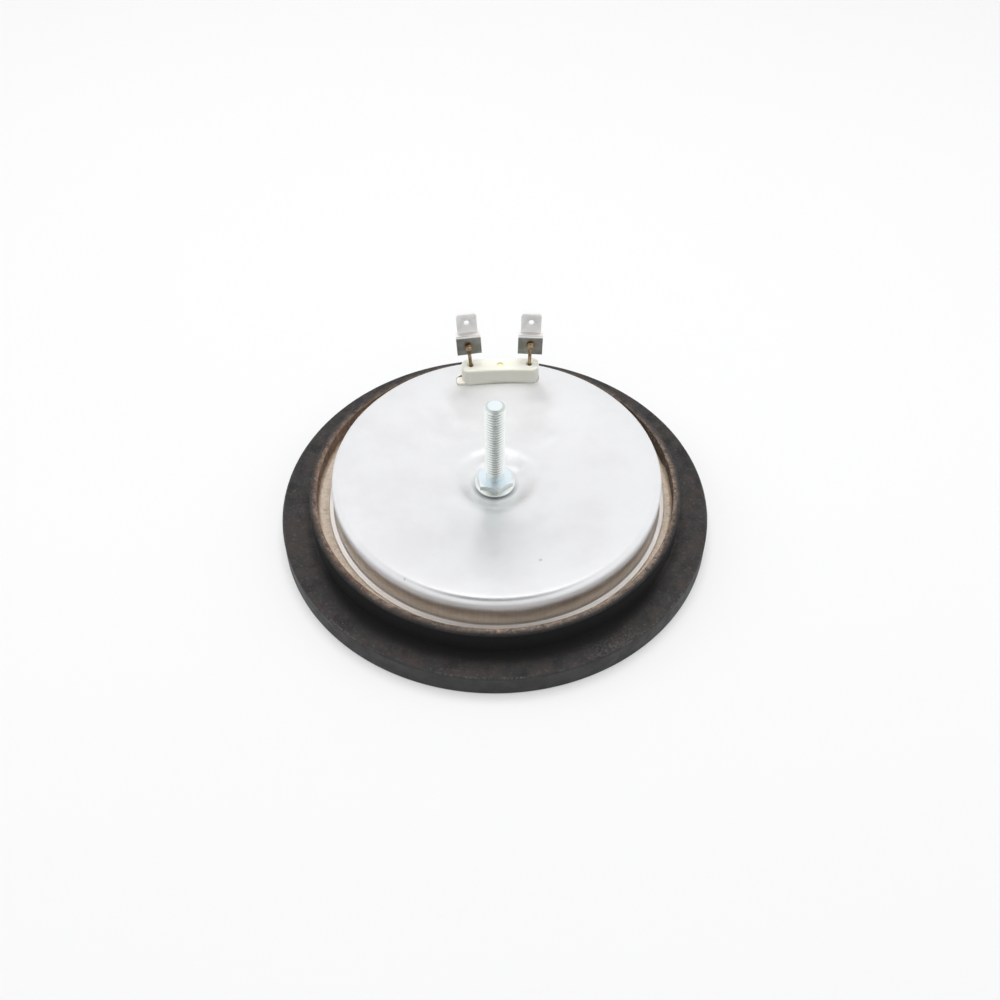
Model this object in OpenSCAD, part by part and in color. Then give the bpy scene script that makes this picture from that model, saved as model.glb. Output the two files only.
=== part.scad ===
// Sealed cast-iron hot plate element, cooking face down, terminals up.
// Origin: centre of the cooking face. +Z points out of the back, +Y towards the terminal block.

/* [Casting] */
// Overall diameter of the cast plate
plate_d = 130; // [125:1:180]
// Thickness of the outer flange
flange_t = 7.5; // [6:0.5:9]
// Rounding of the flange's outer edges
edge_r = 0.8; // [0.4:0.1:1.5]
// Outer diameter of the raised ring that locates in the hob
ring_d = 111.8; // [110:0.2:118]
// Wall thickness of the raised ring
ring_wall = 2.1; // [1.6:0.1:3]
// Height of the raised ring above the flange
ring_rise = 7.9; // [6.5:0.1:10]
// Fillet where the ring meets the flange
ring_fillet = 1.6; // [0.5:0.1:2.5]
// Iron left between the cooking face and the groove floor
web_t = 4.5; // [3.5:0.1:5]
// Diameter of the shallow recess in the middle of the cooking face
recess_d = 42; // [30:1:60]
// Depth of that recess
recess_depth = 0.6; // [0.3:0.1:1]
// Diameter of the threaded centre boss
boss_d = 18; // [14:0.5:22]
// How far the boss stands below the ring's land
boss_drop = 0.5; // [0:0.1:0.8]
// Outer radius of the wall round the unheated centre
hub_r = 16; // [15:0.5:17]
// Thickness of the hub wall and of the spiral groove wall
rib_t = 2.2; // [1.5:0.1:3]
// Height of the spiral groove wall above the groove floor
rib_h = 4.4; // [3:0.1:5]

/* [Heating coil] */
// Outer diameter of the coiled resistance wire
coil_od = 4; // [3:0.1:4.2]
// Thickness of the resistance wire
coil_wire = 0.6; // [0.4:0.05:0.8]
// Radius of the spiral's first half turn
coil_first_r = 21; // [20.5:0.1:21.5]
// Distance from the last turn's middle to the ring's inner wall
coil_margin = 9.3; // [9:0.1:10.5]
// Compound under the coil
coil_bed = 0.9; // [0.5:0.1:1.2]
// Sweep of the last half turn, in degrees
coil_last_sweep = 90; // [60:5:100]
// Diameter of the pins that bring the coil's ends out of the compound
coil_pin_d = 2.2; // [1.6:0.1:2.6]
// Height of those pins above the compound
coil_pin_rise = 1.2; // [0.8:0.1:1.2]
// Distance of the outer pin from the end of the terminal block
pin_reach = 4.5; // [4:0.1:6]

/* [Compound] */
// Level of the compound above the cooking face
compound_top = 10.2; // [10:0.1:11]

/* [Cover] */
// Gap between the cover's lip and the ring's inner wall
lip_gap = 2.9; // [2.4:0.1:3.8]
// Height of the cover from its lip to its rim
cover_h = 11.4; // [10.6:0.1:13]
// Thickness of the cover sheet
sheet_t = 0.6; // [0.4:0.1:0.8]
// Width of the lip that stands out from the foot of the wall
lip_w = 1.6; // [1:0.1:1.8]
// Outside radius between the wall and the face
cover_corner_r = 1.4; // [1:0.1:2.5]
// Outside radius between the wall and the lip
lip_corner_r = 0.5; // [0.3:0.1:0.8]
// Width of the level band round the rim of the face
rim_band = 1.8; // [1:0.1:4]
// Height of the dish's foot above the stud seat
dimple_rise = 2.1; // [0.8:0.1:2.6]
// Radius at which the dish meets the dimple round the stud
dimple_r = 12; // [11:0.5:14]
// Radius of the flat seat under the stud's collar
seat_r = 7.6; // [7:0.1:9]
// How far the cover has settled to one side of the ring
cover_play = 0.5; // [0:0.1:0.6]

/* [Fixing stud] */
// Thread diameter of the stud
stud_d = 6; // [5:0.5:8]
// Length of the stud above the collar
stud_len = 29.4; // [20:0.1:40]
// Length of the smooth neck above the collar
neck_len = 2; // [1:0.1:4]
// Diameter of the smooth neck
neck_d = 5.6; // [4.6:0.1:6]
// Length of the stud below the collar, screwed into the boss
root_len = 9.5; // [7:0.1:10.4]
// Chamfer on both ends of the stud
tip_chamfer = 0.8; // [0.4:0.1:1.2]
// Width across the flats of the hex collar
hex_af = 10; // [9:0.5:11]
// Diameter of the collar's round flange
collar_flange_d = 12.2; // [12:0.1:13]
// Thickness of the collar's flange at its edge
collar_flange_t = 0.7; // [0.4:0.1:1]
// Height of the whole collar
collar_h = 3.1; // [2.6:0.1:5]
// Turn of the hexagon, in degrees
hex_turn = 42; // [0:1:60]
// Radial clearance of the stud in the boss
thread_gap = 0.05; // [0.02:0.01:0.1]

/* [Terminal block] */
// Distance of the block's middle from the cover's wall
block_in = 8.5; // [8.3:0.1:9.3]
// Turn of the block in its opening, in degrees
block_turn = 4.5; // [-6:0.5:6]
// Length of the block's neck
block_w = 24.6; // [24:0.1:26]
// Depth of the block's neck
block_depth = 6.2; // [6:0.1:6.6]
// Height of the block's top above the cooking face
block_top = 27; // [25:0.1:30]
// Corner radius of the neck
block_corner_r = 2.4; // [1:0.1:2.8]
// Depth of the waist in the front and the back of the neck
block_waist = 0.5; // [0.2:0.1:0.7]
// How far the foot is larger than the neck all round
foot_step = 1; // [0.6:0.1:1.2]
// Width of the key beside the neck
key_w = 1.7; // [1:0.1:1.9]
// Height of the key above the foot
key_h = 2; // [1:0.1:2.4]
// Width of the tunnel for the wires under the block
tunnel_w = 4.6; // [4:0.1:5]
// Height of that tunnel
tunnel_h = 5; // [4.6:0.1:5.6]
// Distance between the two wire holes
hole_spacing = 18.6; // [16:0.1:19]
// Diameter of the mouth of each wire hole
hole_mouth_d = 2.2; // [1.8:0.1:2.6]
// Depth of that mouth
hole_mouth_depth = 1; // [0.5:0.1:2]
// Diameter of the blind hole in the middle
blind_hole_d = 2; // [1.2:0.1:2.4]
// Depth of the blind hole
blind_hole_depth = 2.5; // [1:0.1:5]

/* [Leads] */
// Diameter of the lead wires
lead_d = 1.1; // [0.9:0.05:1.3]
// Height of the leads' level run above the compound
lead_rise = 3; // [2.8:0.1:3.2]
// Length of each lead above the block
lead_up = 8.4; // [7.4:0.1:9]
// Lean of the left lead above the block, in degrees
left_lead_lean = -5; // [-6:1:6]
// Lean of the right lead above the block, in degrees
right_lead_lean = 1; // [-6:1:6]
// Outer diameter of the ceramic beads
bead_d = 3; // [2.6:0.1:3.2]
// Bare wire at each end of a string of beads
bead_clear = 1; // [0.8:0.1:1.6]
// Beads on the left lead
left_bead_count = 8; // [6:1:10]
// Beads on the right lead
right_bead_count = 1; // [1:1:2]

/* [Terminal tabs] */
// Thickness of the tab sheet
tab_t = 0.8; // [0.5:0.1:1]
// Width of the welded part of a tab
tab_foot_w = 7.7; // [7:0.1:8.4]
// Height of the welded part of a tab
tab_foot_h = 7.4; // [6.6:0.1:8]
// Width of the push-on blade
blade_w = 6.3; // [4.8:0.1:6.8]
// Length of the push-on blade
blade_len = 7.2; // [6.5:0.1:8.5]
// How far the blade is set back from the welded part
tab_jog = 1.9; // [1.2:0.1:2.6]
// Corner chamfer at the end of the blade
blade_chamfer = 1.1; // [0.6:0.1:1.6]
// Diameter of the hole in the blade
blade_hole_d = 1.7; // [1.2:0.1:2]
// Distance of that hole from the end of the blade
blade_hole_in = 3.2; // [2.6:0.1:4]
// Height of the left tab's foot above the block
left_tab_rise = 4; // [3:0.1:4.4]
// Height of the right tab's foot above the block
right_tab_rise = 3.4; // [3:0.1:4.4]
// Lean of the left tab, in degrees
left_tab_lean = -3; // [-6:1:6]
// Lean of the right tab, in degrees
right_tab_lean = 1; // [-6:1:6]
// Turn of the left tab about its lead, in degrees
left_tab_turn = 10; // [-12:1:12]
// Turn of the right tab about its lead, in degrees
right_tab_turn = 0; // [-12:1:12]
// Diameter of the weld nugget
weld_d = 2.2; // [1.8:0.1:2.6]

/* [Hidden] */
$fn = 96;
// Small clearance between pieces that seat in each other, and the growth of a knuckle
gap = 0.1;
// Overshoot of cutting tools
cut = 1;
// Steps in a rounded corner of the cover
corner_steps = 8;
// Steps in each half of the cover's dish
dish_steps = 14;

plate_r = plate_d / 2;
ring_r = ring_d / 2;
ring_top = flange_t + ring_rise;
bowl_r = ring_r - ring_wall;
boss_top = ring_top - boss_drop;

coil_z = web_t + coil_bed + coil_od / 2;
// Number of the spiral's last half turn, counted from 0, and the step out from one to the next
last_half_turn = 5;
half_pitch = (bowl_r - coil_margin - coil_first_r) / last_half_turn;
// The groove wall starts one half turn before the coil and ends two before its last
rib_first = -1;
rib_last = last_half_turn - 2;
coil_pin_step = coil_pin_d / 2 + gap;
coil_pin_top = compound_top + coil_pin_rise;
coil_pin_foot = web_t + coil_bed;
// Clearance of a coil pin in the compound, enough for its hole to open into the coil's channel
coil_pin_gap = 2 * gap;

lip_r = bowl_r - lip_gap;
cover_r = lip_r - lip_w;
cover_top = compound_top + cover_h;
dish_r = cover_r - cover_corner_r - rim_band;
seat_z = boss_top + sheet_t;
dimple_z = seat_z + dimple_rise;
// The stud's hole in the cover
cover_hole_d = stud_d + 4 * gap;

block_y = cover_r - block_in;
block_half = block_w / 2;
block_half_depth = block_depth / 2;
foot_half = block_half + foot_step;
foot_top = cover_z(block_y - block_half_depth - foot_step - cover_play) - sheet_t - 2 * gap;
hole_x = hole_spacing / 2;
hole_d = lead_d + 2 * gap;
lead_z = compound_top + lead_rise;
lead_r = lead_d / 2;
// Where the welded face of a tab stands behind its lead's axis
weld_face = lead_r + gap / 2;
// The left lead's elbow, outside the end of the block
elbow_out = 4;
// Clearance of the opening in the cover round the block
opening_gap = 0.25;
// Radius that gives the waist its depth over the flat length of the block
waist_r = pow(block_w - 2 * block_corner_r, 2) / (8 * block_waist);

// Smooth step from 0 to 1
function ease(t) = t * t * (3 - 2 * t);

// Height of the cover's outer face at radius r
function cover_z(r) =
    r >= dish_r ? cover_top :
    r >= dimple_r ? dimple_z + (cover_top - dimple_z) * ease((r - dimple_r) / (dish_r - dimple_r)) :
    r >= seat_r ? seat_z + dimple_rise * ease((r - seat_r) / (dimple_r - seat_r)) :
    seat_z;

// Points on an arc, from angle a0 to a1, without the first one
function arc(centre, r, a0, a1) = [
    for (k = [1 : corner_steps])
        let (a = a0 + (a1 - a0) * k / corner_steps)
        centre + r * [cos(a), sin(a)]
];

// A point on the plan, turned by a degrees
function turned(p, a) = [p[0] * cos(a) - p[1] * sin(a), p[0] * sin(a) + p[1] * cos(a)];

// A point of the terminal block's own frame, in the plate's frame
function block_point(x, z) = let (p = turned([x, 0], block_turn)) [p[0], block_y + p[1], z];

// Centre of a half turn of the spiral, and its radius
function half_turn_centre(i) = [abs(i) % 2 == 0 ? 0 : half_pitch, 0];
function half_turn_r(i) = coil_first_r + i * half_pitch;

// Where the outer coil pin stands before the spiral is turned, on the plan
function outer_pin_unturned() =
    let (a = (last_half_turn % 2) * 180 + coil_last_sweep)
    half_turn_centre(last_half_turn) + half_turn_r(last_half_turn) * [cos(a), sin(a)]
        + turned([0, coil_pin_step], a);

// Turn of the spiral that brings its outer pin beside the end of the terminal block
function coil_turn() =
    let (pin = outer_pin_unturned(),
         across = foot_half + pin_reach + sin(block_turn) * block_y)
    block_turn + acos(across / norm(pin)) - atan2(pin[1], pin[0]);

// Where the two coil pins stand, on the plan
function inner_pin_at() = turned([coil_first_r, -coil_pin_step], coil_turn());
function outer_pin_at() = turned(outer_pin_unturned(), coil_turn());

// Half turns i0 to i1 of the spiral, swept with a profile drawn at the half turn's own radius
module spiral(i0, i1, last_sweep) {
    rotate([0, 0, coil_turn()])
        for (i = [i0 : i1])
            translate(half_turn_centre(i))
                rotate([0, 0, (abs(i) % 2) * 180])
                    rotate_extrude(angle = i == i1 ? last_sweep : 180)
                        translate([half_turn_r(i), 0])
                            children();
}

// A round bar between two points
module bar(p, q, d) {
    v = q - p;
    len = norm(v);
    translate(p)
        rotate([0, acos(v[2] / len), atan2(v[1], v[0])])
            cylinder(d = d, h = len);
}

// A round wire through a list of points, with a knuckle at each corner
module wire(points, d) {
    last = len(points) - 1;
    for (k = [0 : last - 1])
        bar(points[k], points[k + 1], d);
    for (k = [1 : last - 1])
        translate(points[k])
            sphere(d = d + gap);
}

// Rectangle with round corners, centred on the plan
module rounded_plan(w, d, r) {
    square([w - 2 * r, d], center = true);
    square([w, d - 2 * r], center = true);
    for (sx = [-1, 1])
        for (sy = [-1, 1])
            translate([sx * (w / 2 - r), sy * (d / 2 - r)])
                circle(r = r);
}

// Outline of the casting's rim, swept round the axis
module rim_profile() {
    difference() {
        union() {
            square([plate_r - edge_r, flange_t]);
            translate([0, edge_r])
                square([plate_r, flange_t - 2 * edge_r]);
            for (z = [edge_r, flange_t - edge_r])
                translate([plate_r - edge_r, z])
                    circle(r = edge_r);
            translate([bowl_r, 0])
                square([ring_wall - edge_r, ring_top]);
            translate([bowl_r, 0])
                square([ring_wall, ring_top - edge_r]);
            translate([ring_r - edge_r, ring_top - edge_r])
                circle(r = edge_r);
            difference() {
                translate([ring_r - cut, flange_t - cut])
                    square([ring_fillet + cut, ring_fillet + cut]);
                translate([ring_r + ring_fillet, flange_t + ring_fillet])
                    circle(r = ring_fillet);
            }
        }
        translate([-cut, web_t])
            square([bowl_r + cut, ring_top]);
    }
}

module cast_iron_plate() {
    color([0.23, 0.22, 0.21])
        difference() {
            union() {
                rotate_extrude()
                    rim_profile();
                cylinder(d = boss_d, h = boss_top);
                difference() {
                    cylinder(r = hub_r, h = compound_top);
                    translate([0, 0, web_t])
                        cylinder(r = hub_r - rib_t, h = compound_top);
                }
                spiral(rib_first, rib_last, 180)
                    translate([half_pitch - rib_t / 2, web_t - cut])
                        square([rib_t, rib_h + cut]);
            }
            translate([0, 0, -cut])
                cylinder(d = recess_d, h = recess_depth + cut);
            translate([0, 0, boss_top - root_len - 2 * tip_chamfer])
                cylinder(d = stud_d + 2 * thread_gap, h = boss_top);
        }
}

module insulating_compound() {
    color([0.80, 0.73, 0.66])
        difference() {
            translate([0, 0, web_t])
                cylinder(r = bowl_r - gap, h = compound_top - web_t);
            translate([0, 0, web_t - cut])
                cylinder(r = hub_r + gap, h = compound_top);
            spiral(rib_first, rib_last, 180 + 2 * gap)
                translate([half_pitch - rib_t / 2 - gap, web_t - cut])
                    square([rib_t + 2 * gap, rib_h + gap + cut]);
            spiral(0, last_half_turn, coil_last_sweep)
                translate([0, coil_z])
                    circle(d = coil_od + 2 * gap);
            for (at = [inner_pin_at(), outer_pin_at()])
                translate([at[0], at[1], coil_pin_foot - coil_pin_gap])
                    cylinder(d = coil_pin_d + 2 * coil_pin_gap, h = compound_top);
        }
}

module heating_coil() {
    color([0.55, 0.50, 0.45])
        spiral(0, last_half_turn, coil_last_sweep)
            translate([0, coil_z])
                difference() {
                    circle(d = coil_od);
                    circle(d = coil_od - 2 * coil_wire);
                }
}

module coil_pin(at) {
    color([0.62, 0.58, 0.52])
        translate([at[0], at[1], coil_pin_foot])
            cylinder(d = coil_pin_d, h = coil_pin_top - coil_pin_foot);
}

module inner_coil_pin() coil_pin(inner_pin_at());

module outer_coil_pin() coil_pin(outer_pin_at());

// Where a lead lies: up from its coil pin, level to the block, up through the block, then leaning.
// A level run is the part of it that lies outside the block.
function pin_point(at, z) = [at[0], at[1], z];
function lead_end(side, turn, lean, up) =
    let (out = turned([sin(lean) * up, 0], turn), foot = block_point(side * hole_x, block_top))
    foot + [out[0], out[1], cos(lean) * up];
function left_level_run() = [pin_point(inner_pin_at(), lead_z), block_point(-foot_half - elbow_out, lead_z)];
function right_level_run() =
    let (pin = pin_point(outer_pin_at(), lead_z), hole = block_point(hole_x, lead_z))
    [pin, pin + (hole - pin) * pin_reach / (pin_reach + foot_half - hole_x)];

// The frame of a lead above the block, turned and leaning
module at_lead(side, turn, lean) {
    translate(block_point(side * hole_x, block_top))
        rotate([0, 0, turn])
            rotate([0, lean, 0])
                children();
}

// A lead: its run below the block, up through the block, leaning above it, and the nugget welded to its tab
module lead(points, side, turn, lean) {
    color([0.50, 0.40, 0.30]) {
        wire(concat(points, [
            block_point(side * hole_x, lead_z),
            block_point(side * hole_x, block_top),
            lead_end(side, turn, lean, lead_up)
        ]), lead_d);
        at_lead(side, turn, lean)
            intersection() {
                translate([0, 0, lead_up - weld_d / 2])
                    sphere(d = weld_d);
                translate([-weld_d, weld_face - 2 * weld_d, 0])
                    cube([2 * weld_d, 2 * weld_d, lead_up + weld_d]);
            }
    }
}

module left_lead_wire() {
    lead(concat([pin_point(inner_pin_at(), coil_pin_top)], left_level_run()),
         -1, left_tab_turn, left_lead_lean);
}

module right_lead_wire() {
    lead([pin_point(outer_pin_at(), coil_pin_top), pin_point(outer_pin_at(), lead_z)],
         1, right_tab_turn, right_lead_lean);
}

// Ceramic beads that fill a level run, but for the bare wire at its ends
module beads(run, count) {
    v = run[1] - run[0];
    step = (norm(v) - 2 * bead_clear) / count;
    color([0.93, 0.91, 0.85])
        translate(run[0])
            rotate([0, 90, atan2(v[1], v[0])])
                for (k = [0 : count - 1])
                    translate([0, 0, bead_clear + k * step])
                        difference() {
                            cylinder(d = bead_d, h = step - gap);
                            translate([0, 0, -cut])
                                cylinder(d = hole_d, h = step + 2 * cut);
                        }
}

module left_lead_beads() beads(left_level_run(), left_bead_count);

module right_lead_beads() beads(right_level_run(), right_bead_count);

module terminal_block() {
    color([0.92, 0.91, 0.84])
        translate([0, block_y, 0])
            rotate([0, 0, block_turn])
                difference() {
                    union() {
                        translate([0, 0, compound_top])
                            linear_extrude(foot_top - compound_top)
                                rounded_plan(2 * foot_half, block_depth + 2 * foot_step, block_corner_r);
                        translate([0, 0, compound_top])
                            linear_extrude(block_top - compound_top)
                                difference() {
                                    rounded_plan(block_w, block_depth, block_corner_r);
                                    for (side = [-1, 1])
                                        translate([0, side * (block_half_depth - block_waist + waist_r)])
                                            circle(r = waist_r);
                                }
                        translate([-block_half - key_w, -block_half_depth + gap, foot_top - cut])
                            cube([2 * key_w, block_half_depth, key_h + cut]);
                    }
                    translate([-foot_half - cut, -tunnel_w / 2, compound_top - cut])
                        cube([2 * foot_half + 2 * cut, tunnel_w, tunnel_h + cut]);
                    for (side = [-1, 1])
                        translate([side * hole_x, 0, compound_top]) {
                            cylinder(d = hole_d, h = block_top);
                            translate([0, 0, block_top - compound_top - hole_mouth_depth])
                                cylinder(d = hole_mouth_d, h = block_top);
                        }
                    translate([0, 0, block_top - blind_hole_depth])
                        cylinder(d = blind_hole_d, h = block_top);
                }
}

// Quarter of a disc, in the corner that starts at angle a
module quarter(centre, r, a) {
    translate(centre)
        rotate(a)
            intersection() {
                circle(r = r);
                square(r);
            }
}

// Side outline of a tab: y to the right, z up, from the foot of the welded part
module tab_bend_profile() {
    square([tab_t, tab_foot_h - tab_t]);
    quarter([tab_t, tab_foot_h - tab_t], tab_t, 90);
    translate([tab_t, tab_foot_h - tab_t])
        square([tab_jog - tab_t, tab_t]);
    quarter([tab_jog, tab_foot_h], tab_t, 270);
}

module blade_outline() {
    polygon([
        [-blade_w / 2, 0],
        [blade_w / 2, 0],
        [blade_w / 2, blade_len - blade_chamfer],
        [blade_w / 2 - blade_chamfer / 2, blade_len],
        [-blade_w / 2 + blade_chamfer / 2, blade_len],
        [-blade_w / 2, blade_len - blade_chamfer]
    ]);
}

module tab(side, turn, lean, rise) {
    color([0.66, 0.65, 0.63])
        at_lead(side, turn, lean)
            translate([0, weld_face, rise])
                difference() {
                    union() {
                        translate([-tab_foot_w / 2, 0, 0])
                            rotate([90, 0, 90])
                                linear_extrude(tab_foot_w)
                                    tab_bend_profile();
                        translate([0, tab_jog + tab_t, tab_foot_h])
                            rotate([90, 0, 0])
                                linear_extrude(tab_t)
                                    blade_outline();
                    }
                    translate([0, tab_jog - cut, tab_foot_h + blade_len - blade_hole_in])
                        rotate([-90, 0, 0])
                            cylinder(d = blade_hole_d, h = tab_t + 2 * cut);
                }
}

module left_terminal_tab() tab(-1, left_tab_turn, left_tab_lean, left_tab_rise);

module right_terminal_tab() tab(1, right_tab_turn, right_tab_lean, right_tab_rise);

// Closed outline of the cover sheet: lip, wall, corner, rim, dish, seat, and back along the underside
module cover_profile() {
    lip_top = compound_top + sheet_t;
    inner_r = cover_r - sheet_t;
    dish = [for (k = [0 : dish_steps]) dish_r + (dimple_r - dish_r) * k / dish_steps];
    dimple = [for (k = [1 : dish_steps]) dimple_r + (seat_r - dimple_r) * k / dish_steps];
    radii = concat(dish, dimple, [0]);
    last = len(radii) - 1;
    polygon(concat(
        [[lip_r, compound_top], [lip_r, lip_top], [cover_r + lip_corner_r, lip_top]],
        arc([cover_r + lip_corner_r, lip_top + lip_corner_r], lip_corner_r, 270, 180),
        [[cover_r, cover_top - cover_corner_r]],
        arc([cover_r - cover_corner_r, cover_top - cover_corner_r], cover_corner_r, 0, 90),
        [for (r = radii) [r, cover_z(r)]],
        [for (k = [0 : last]) let (r = radii[last - k]) [r, cover_z(r) - sheet_t]],
        [[cover_r - cover_corner_r, cover_top - sheet_t]],
        arc([cover_r - cover_corner_r, cover_top - cover_corner_r], cover_corner_r - sheet_t, 90, 0),
        [[inner_r, compound_top]]
    ));
}

// Slot beside the opening for the block's key, drawn out behind the key to a slit
module key_slot() {
    front = -block_half_depth - opening_gap;
    inner = -block_half + key_w;
    outer = -block_half - key_w - opening_gap;
    polygon([[inner, front], [outer, front], [outer, opening_gap], [inner, block_half_depth]]);
}

module cover_plate() {
    color([0.83, 0.83, 0.84])
        difference() {
            translate([cover_play, 0, 0])
                rotate_extrude()
                    cover_profile();
            translate([0, 0, boss_top - cut])
                cylinder(d = cover_hole_d, h = sheet_t + 2 * cut);
            translate([0, block_y, compound_top + tunnel_h])
                rotate([0, 0, block_turn])
                    linear_extrude(block_top) {
                        rounded_plan(block_w + 2 * opening_gap, block_depth + 2 * opening_gap,
                                     block_corner_r + opening_gap);
                        key_slot();
                    }
        }
}

module collar_stud() {
    collar_top = seat_z + collar_h;
    hex_r = hex_af / 2 / cos(30);
    color([0.80, 0.83, 0.85]) {
        translate([0, 0, seat_z - root_len + tip_chamfer])
            cylinder(d = stud_d, h = root_len - tip_chamfer + cut);
        translate([0, 0, seat_z - root_len])
            cylinder(d1 = stud_d - 2 * tip_chamfer, d2 = stud_d, h = tip_chamfer);
        translate([0, 0, seat_z])
            cylinder(d = collar_flange_d, h = collar_flange_t);
        translate([0, 0, seat_z + collar_flange_t])
            cylinder(d1 = collar_flange_d, d2 = hex_af, h = collar_flange_t);
        intersection() {
            translate([0, 0, seat_z])
                rotate([0, 0, hex_turn])
                    cylinder(r = hex_r, h = collar_h, $fn = 6);
            union() {
                translate([0, 0, seat_z])
                    cylinder(r = hex_r + cut, h = collar_h - tip_chamfer);
                translate([0, 0, collar_top - tip_chamfer])
                    cylinder(r1 = hex_r + gap, r2 = hex_af / 2, h = tip_chamfer);
            }
        }
        translate([0, 0, collar_top - cut])
            cylinder(d = neck_d, h = neck_len + 2 * cut);
        translate([0, 0, collar_top + neck_len])
            cylinder(d = stud_d, h = stud_len - neck_len - tip_chamfer);
        translate([0, 0, collar_top + stud_len - tip_chamfer])
            cylinder(d1 = stud_d, d2 = stud_d - 2 * tip_chamfer, h = tip_chamfer);
    }
}

cast_iron_plate();
insulating_compound();
heating_coil();
inner_coil_pin();
outer_coil_pin();
left_lead_wire();
right_lead_wire();
left_lead_beads();
right_lead_beads();
terminal_block();
left_terminal_tab();
right_terminal_tab();
cover_plate();
collar_stud();
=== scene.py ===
"""Looks of a sealed hot plate element, one Blender operator for each piece or group of like pieces.

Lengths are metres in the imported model's frame: the cooking face lies on z = 0, +Z points out of
the back along the fixing stud, and +Y points towards the terminal block.
"""

import math

import bmesh  # noqa: E402
import bpy  # noqa: E402
from bpy.props import FloatProperty, FloatVectorProperty, IntProperty, PointerProperty  # noqa: E402
from mathutils import Matrix, Vector, noise  # noqa: E402


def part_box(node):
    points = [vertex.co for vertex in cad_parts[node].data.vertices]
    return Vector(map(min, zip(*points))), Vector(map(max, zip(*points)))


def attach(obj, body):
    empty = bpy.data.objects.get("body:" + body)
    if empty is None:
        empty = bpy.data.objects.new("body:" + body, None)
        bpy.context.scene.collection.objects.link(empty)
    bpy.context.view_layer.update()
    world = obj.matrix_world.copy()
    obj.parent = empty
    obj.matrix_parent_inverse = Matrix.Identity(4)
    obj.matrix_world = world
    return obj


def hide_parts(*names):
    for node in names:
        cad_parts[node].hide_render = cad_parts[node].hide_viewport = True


bl_info = {
    "name": "Hot Plate Element",
    "version": (1, 0, 0),
    "blender": (4, 5, 0),
    "location": "3D View > Sidebar > Hot Plate",
    "description": "Builds and finishes the pieces of a sealed hot plate element",
    "category": "Object",
}

MM = 0.001
FULL_TURN = 2 * math.pi
SAME_POINT = 1e-7
NEAR = 1e-6
BEYOND = 1 * MM  # how far a cutting shape reaches past what it cuts
SUNK = 0.5 * MM  # how far an added shape is sunk into what it stands on
SHARP = math.radians(32)
BODY = "root"
UP = Vector((0, 0, 1))

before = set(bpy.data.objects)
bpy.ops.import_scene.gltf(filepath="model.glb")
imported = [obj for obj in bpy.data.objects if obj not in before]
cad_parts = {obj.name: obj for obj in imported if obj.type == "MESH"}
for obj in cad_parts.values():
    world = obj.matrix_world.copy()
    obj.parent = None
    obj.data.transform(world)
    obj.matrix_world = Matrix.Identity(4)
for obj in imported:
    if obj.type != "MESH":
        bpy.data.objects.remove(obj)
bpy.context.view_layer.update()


def cad_low(node):
    """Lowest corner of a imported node."""
    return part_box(node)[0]


def cad_high(node):
    """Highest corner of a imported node."""
    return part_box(node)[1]


def size(name, description, default):
    """A length that the user may change. Its default is in millimetres."""
    return FloatProperty(
        name=name, description=description, default=default * MM, min=0, unit="LENGTH", precision=4
    )


def tint(name, description, default):
    """A colour that the user may change."""
    return FloatVectorProperty(
        name=name, description=description, default=default, size=3, subtype="COLOR", min=0, max=1
    )


def vector(name, description, default, kind="TRANSLATION"):
    """A place or a direction that the user may change."""
    return FloatVectorProperty(
        name=name, description=description, default=default, size=3, subtype=kind
    )


def whole(name, description, default):
    """A whole number that the user may change."""
    return IntProperty(name=name, description=description, default=default, min=12)


def turn(name, description, degrees):
    """An angle that the user may change."""
    return FloatProperty(
        name=name, description=description, default=math.radians(degrees), unit="ROTATION"
    )


def share(name, description, default):
    """A factor that the user may change."""
    return FloatProperty(name=name, description=description, default=default, min=0, max=2)


# ---------------------------------------------------------------- settings


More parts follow.
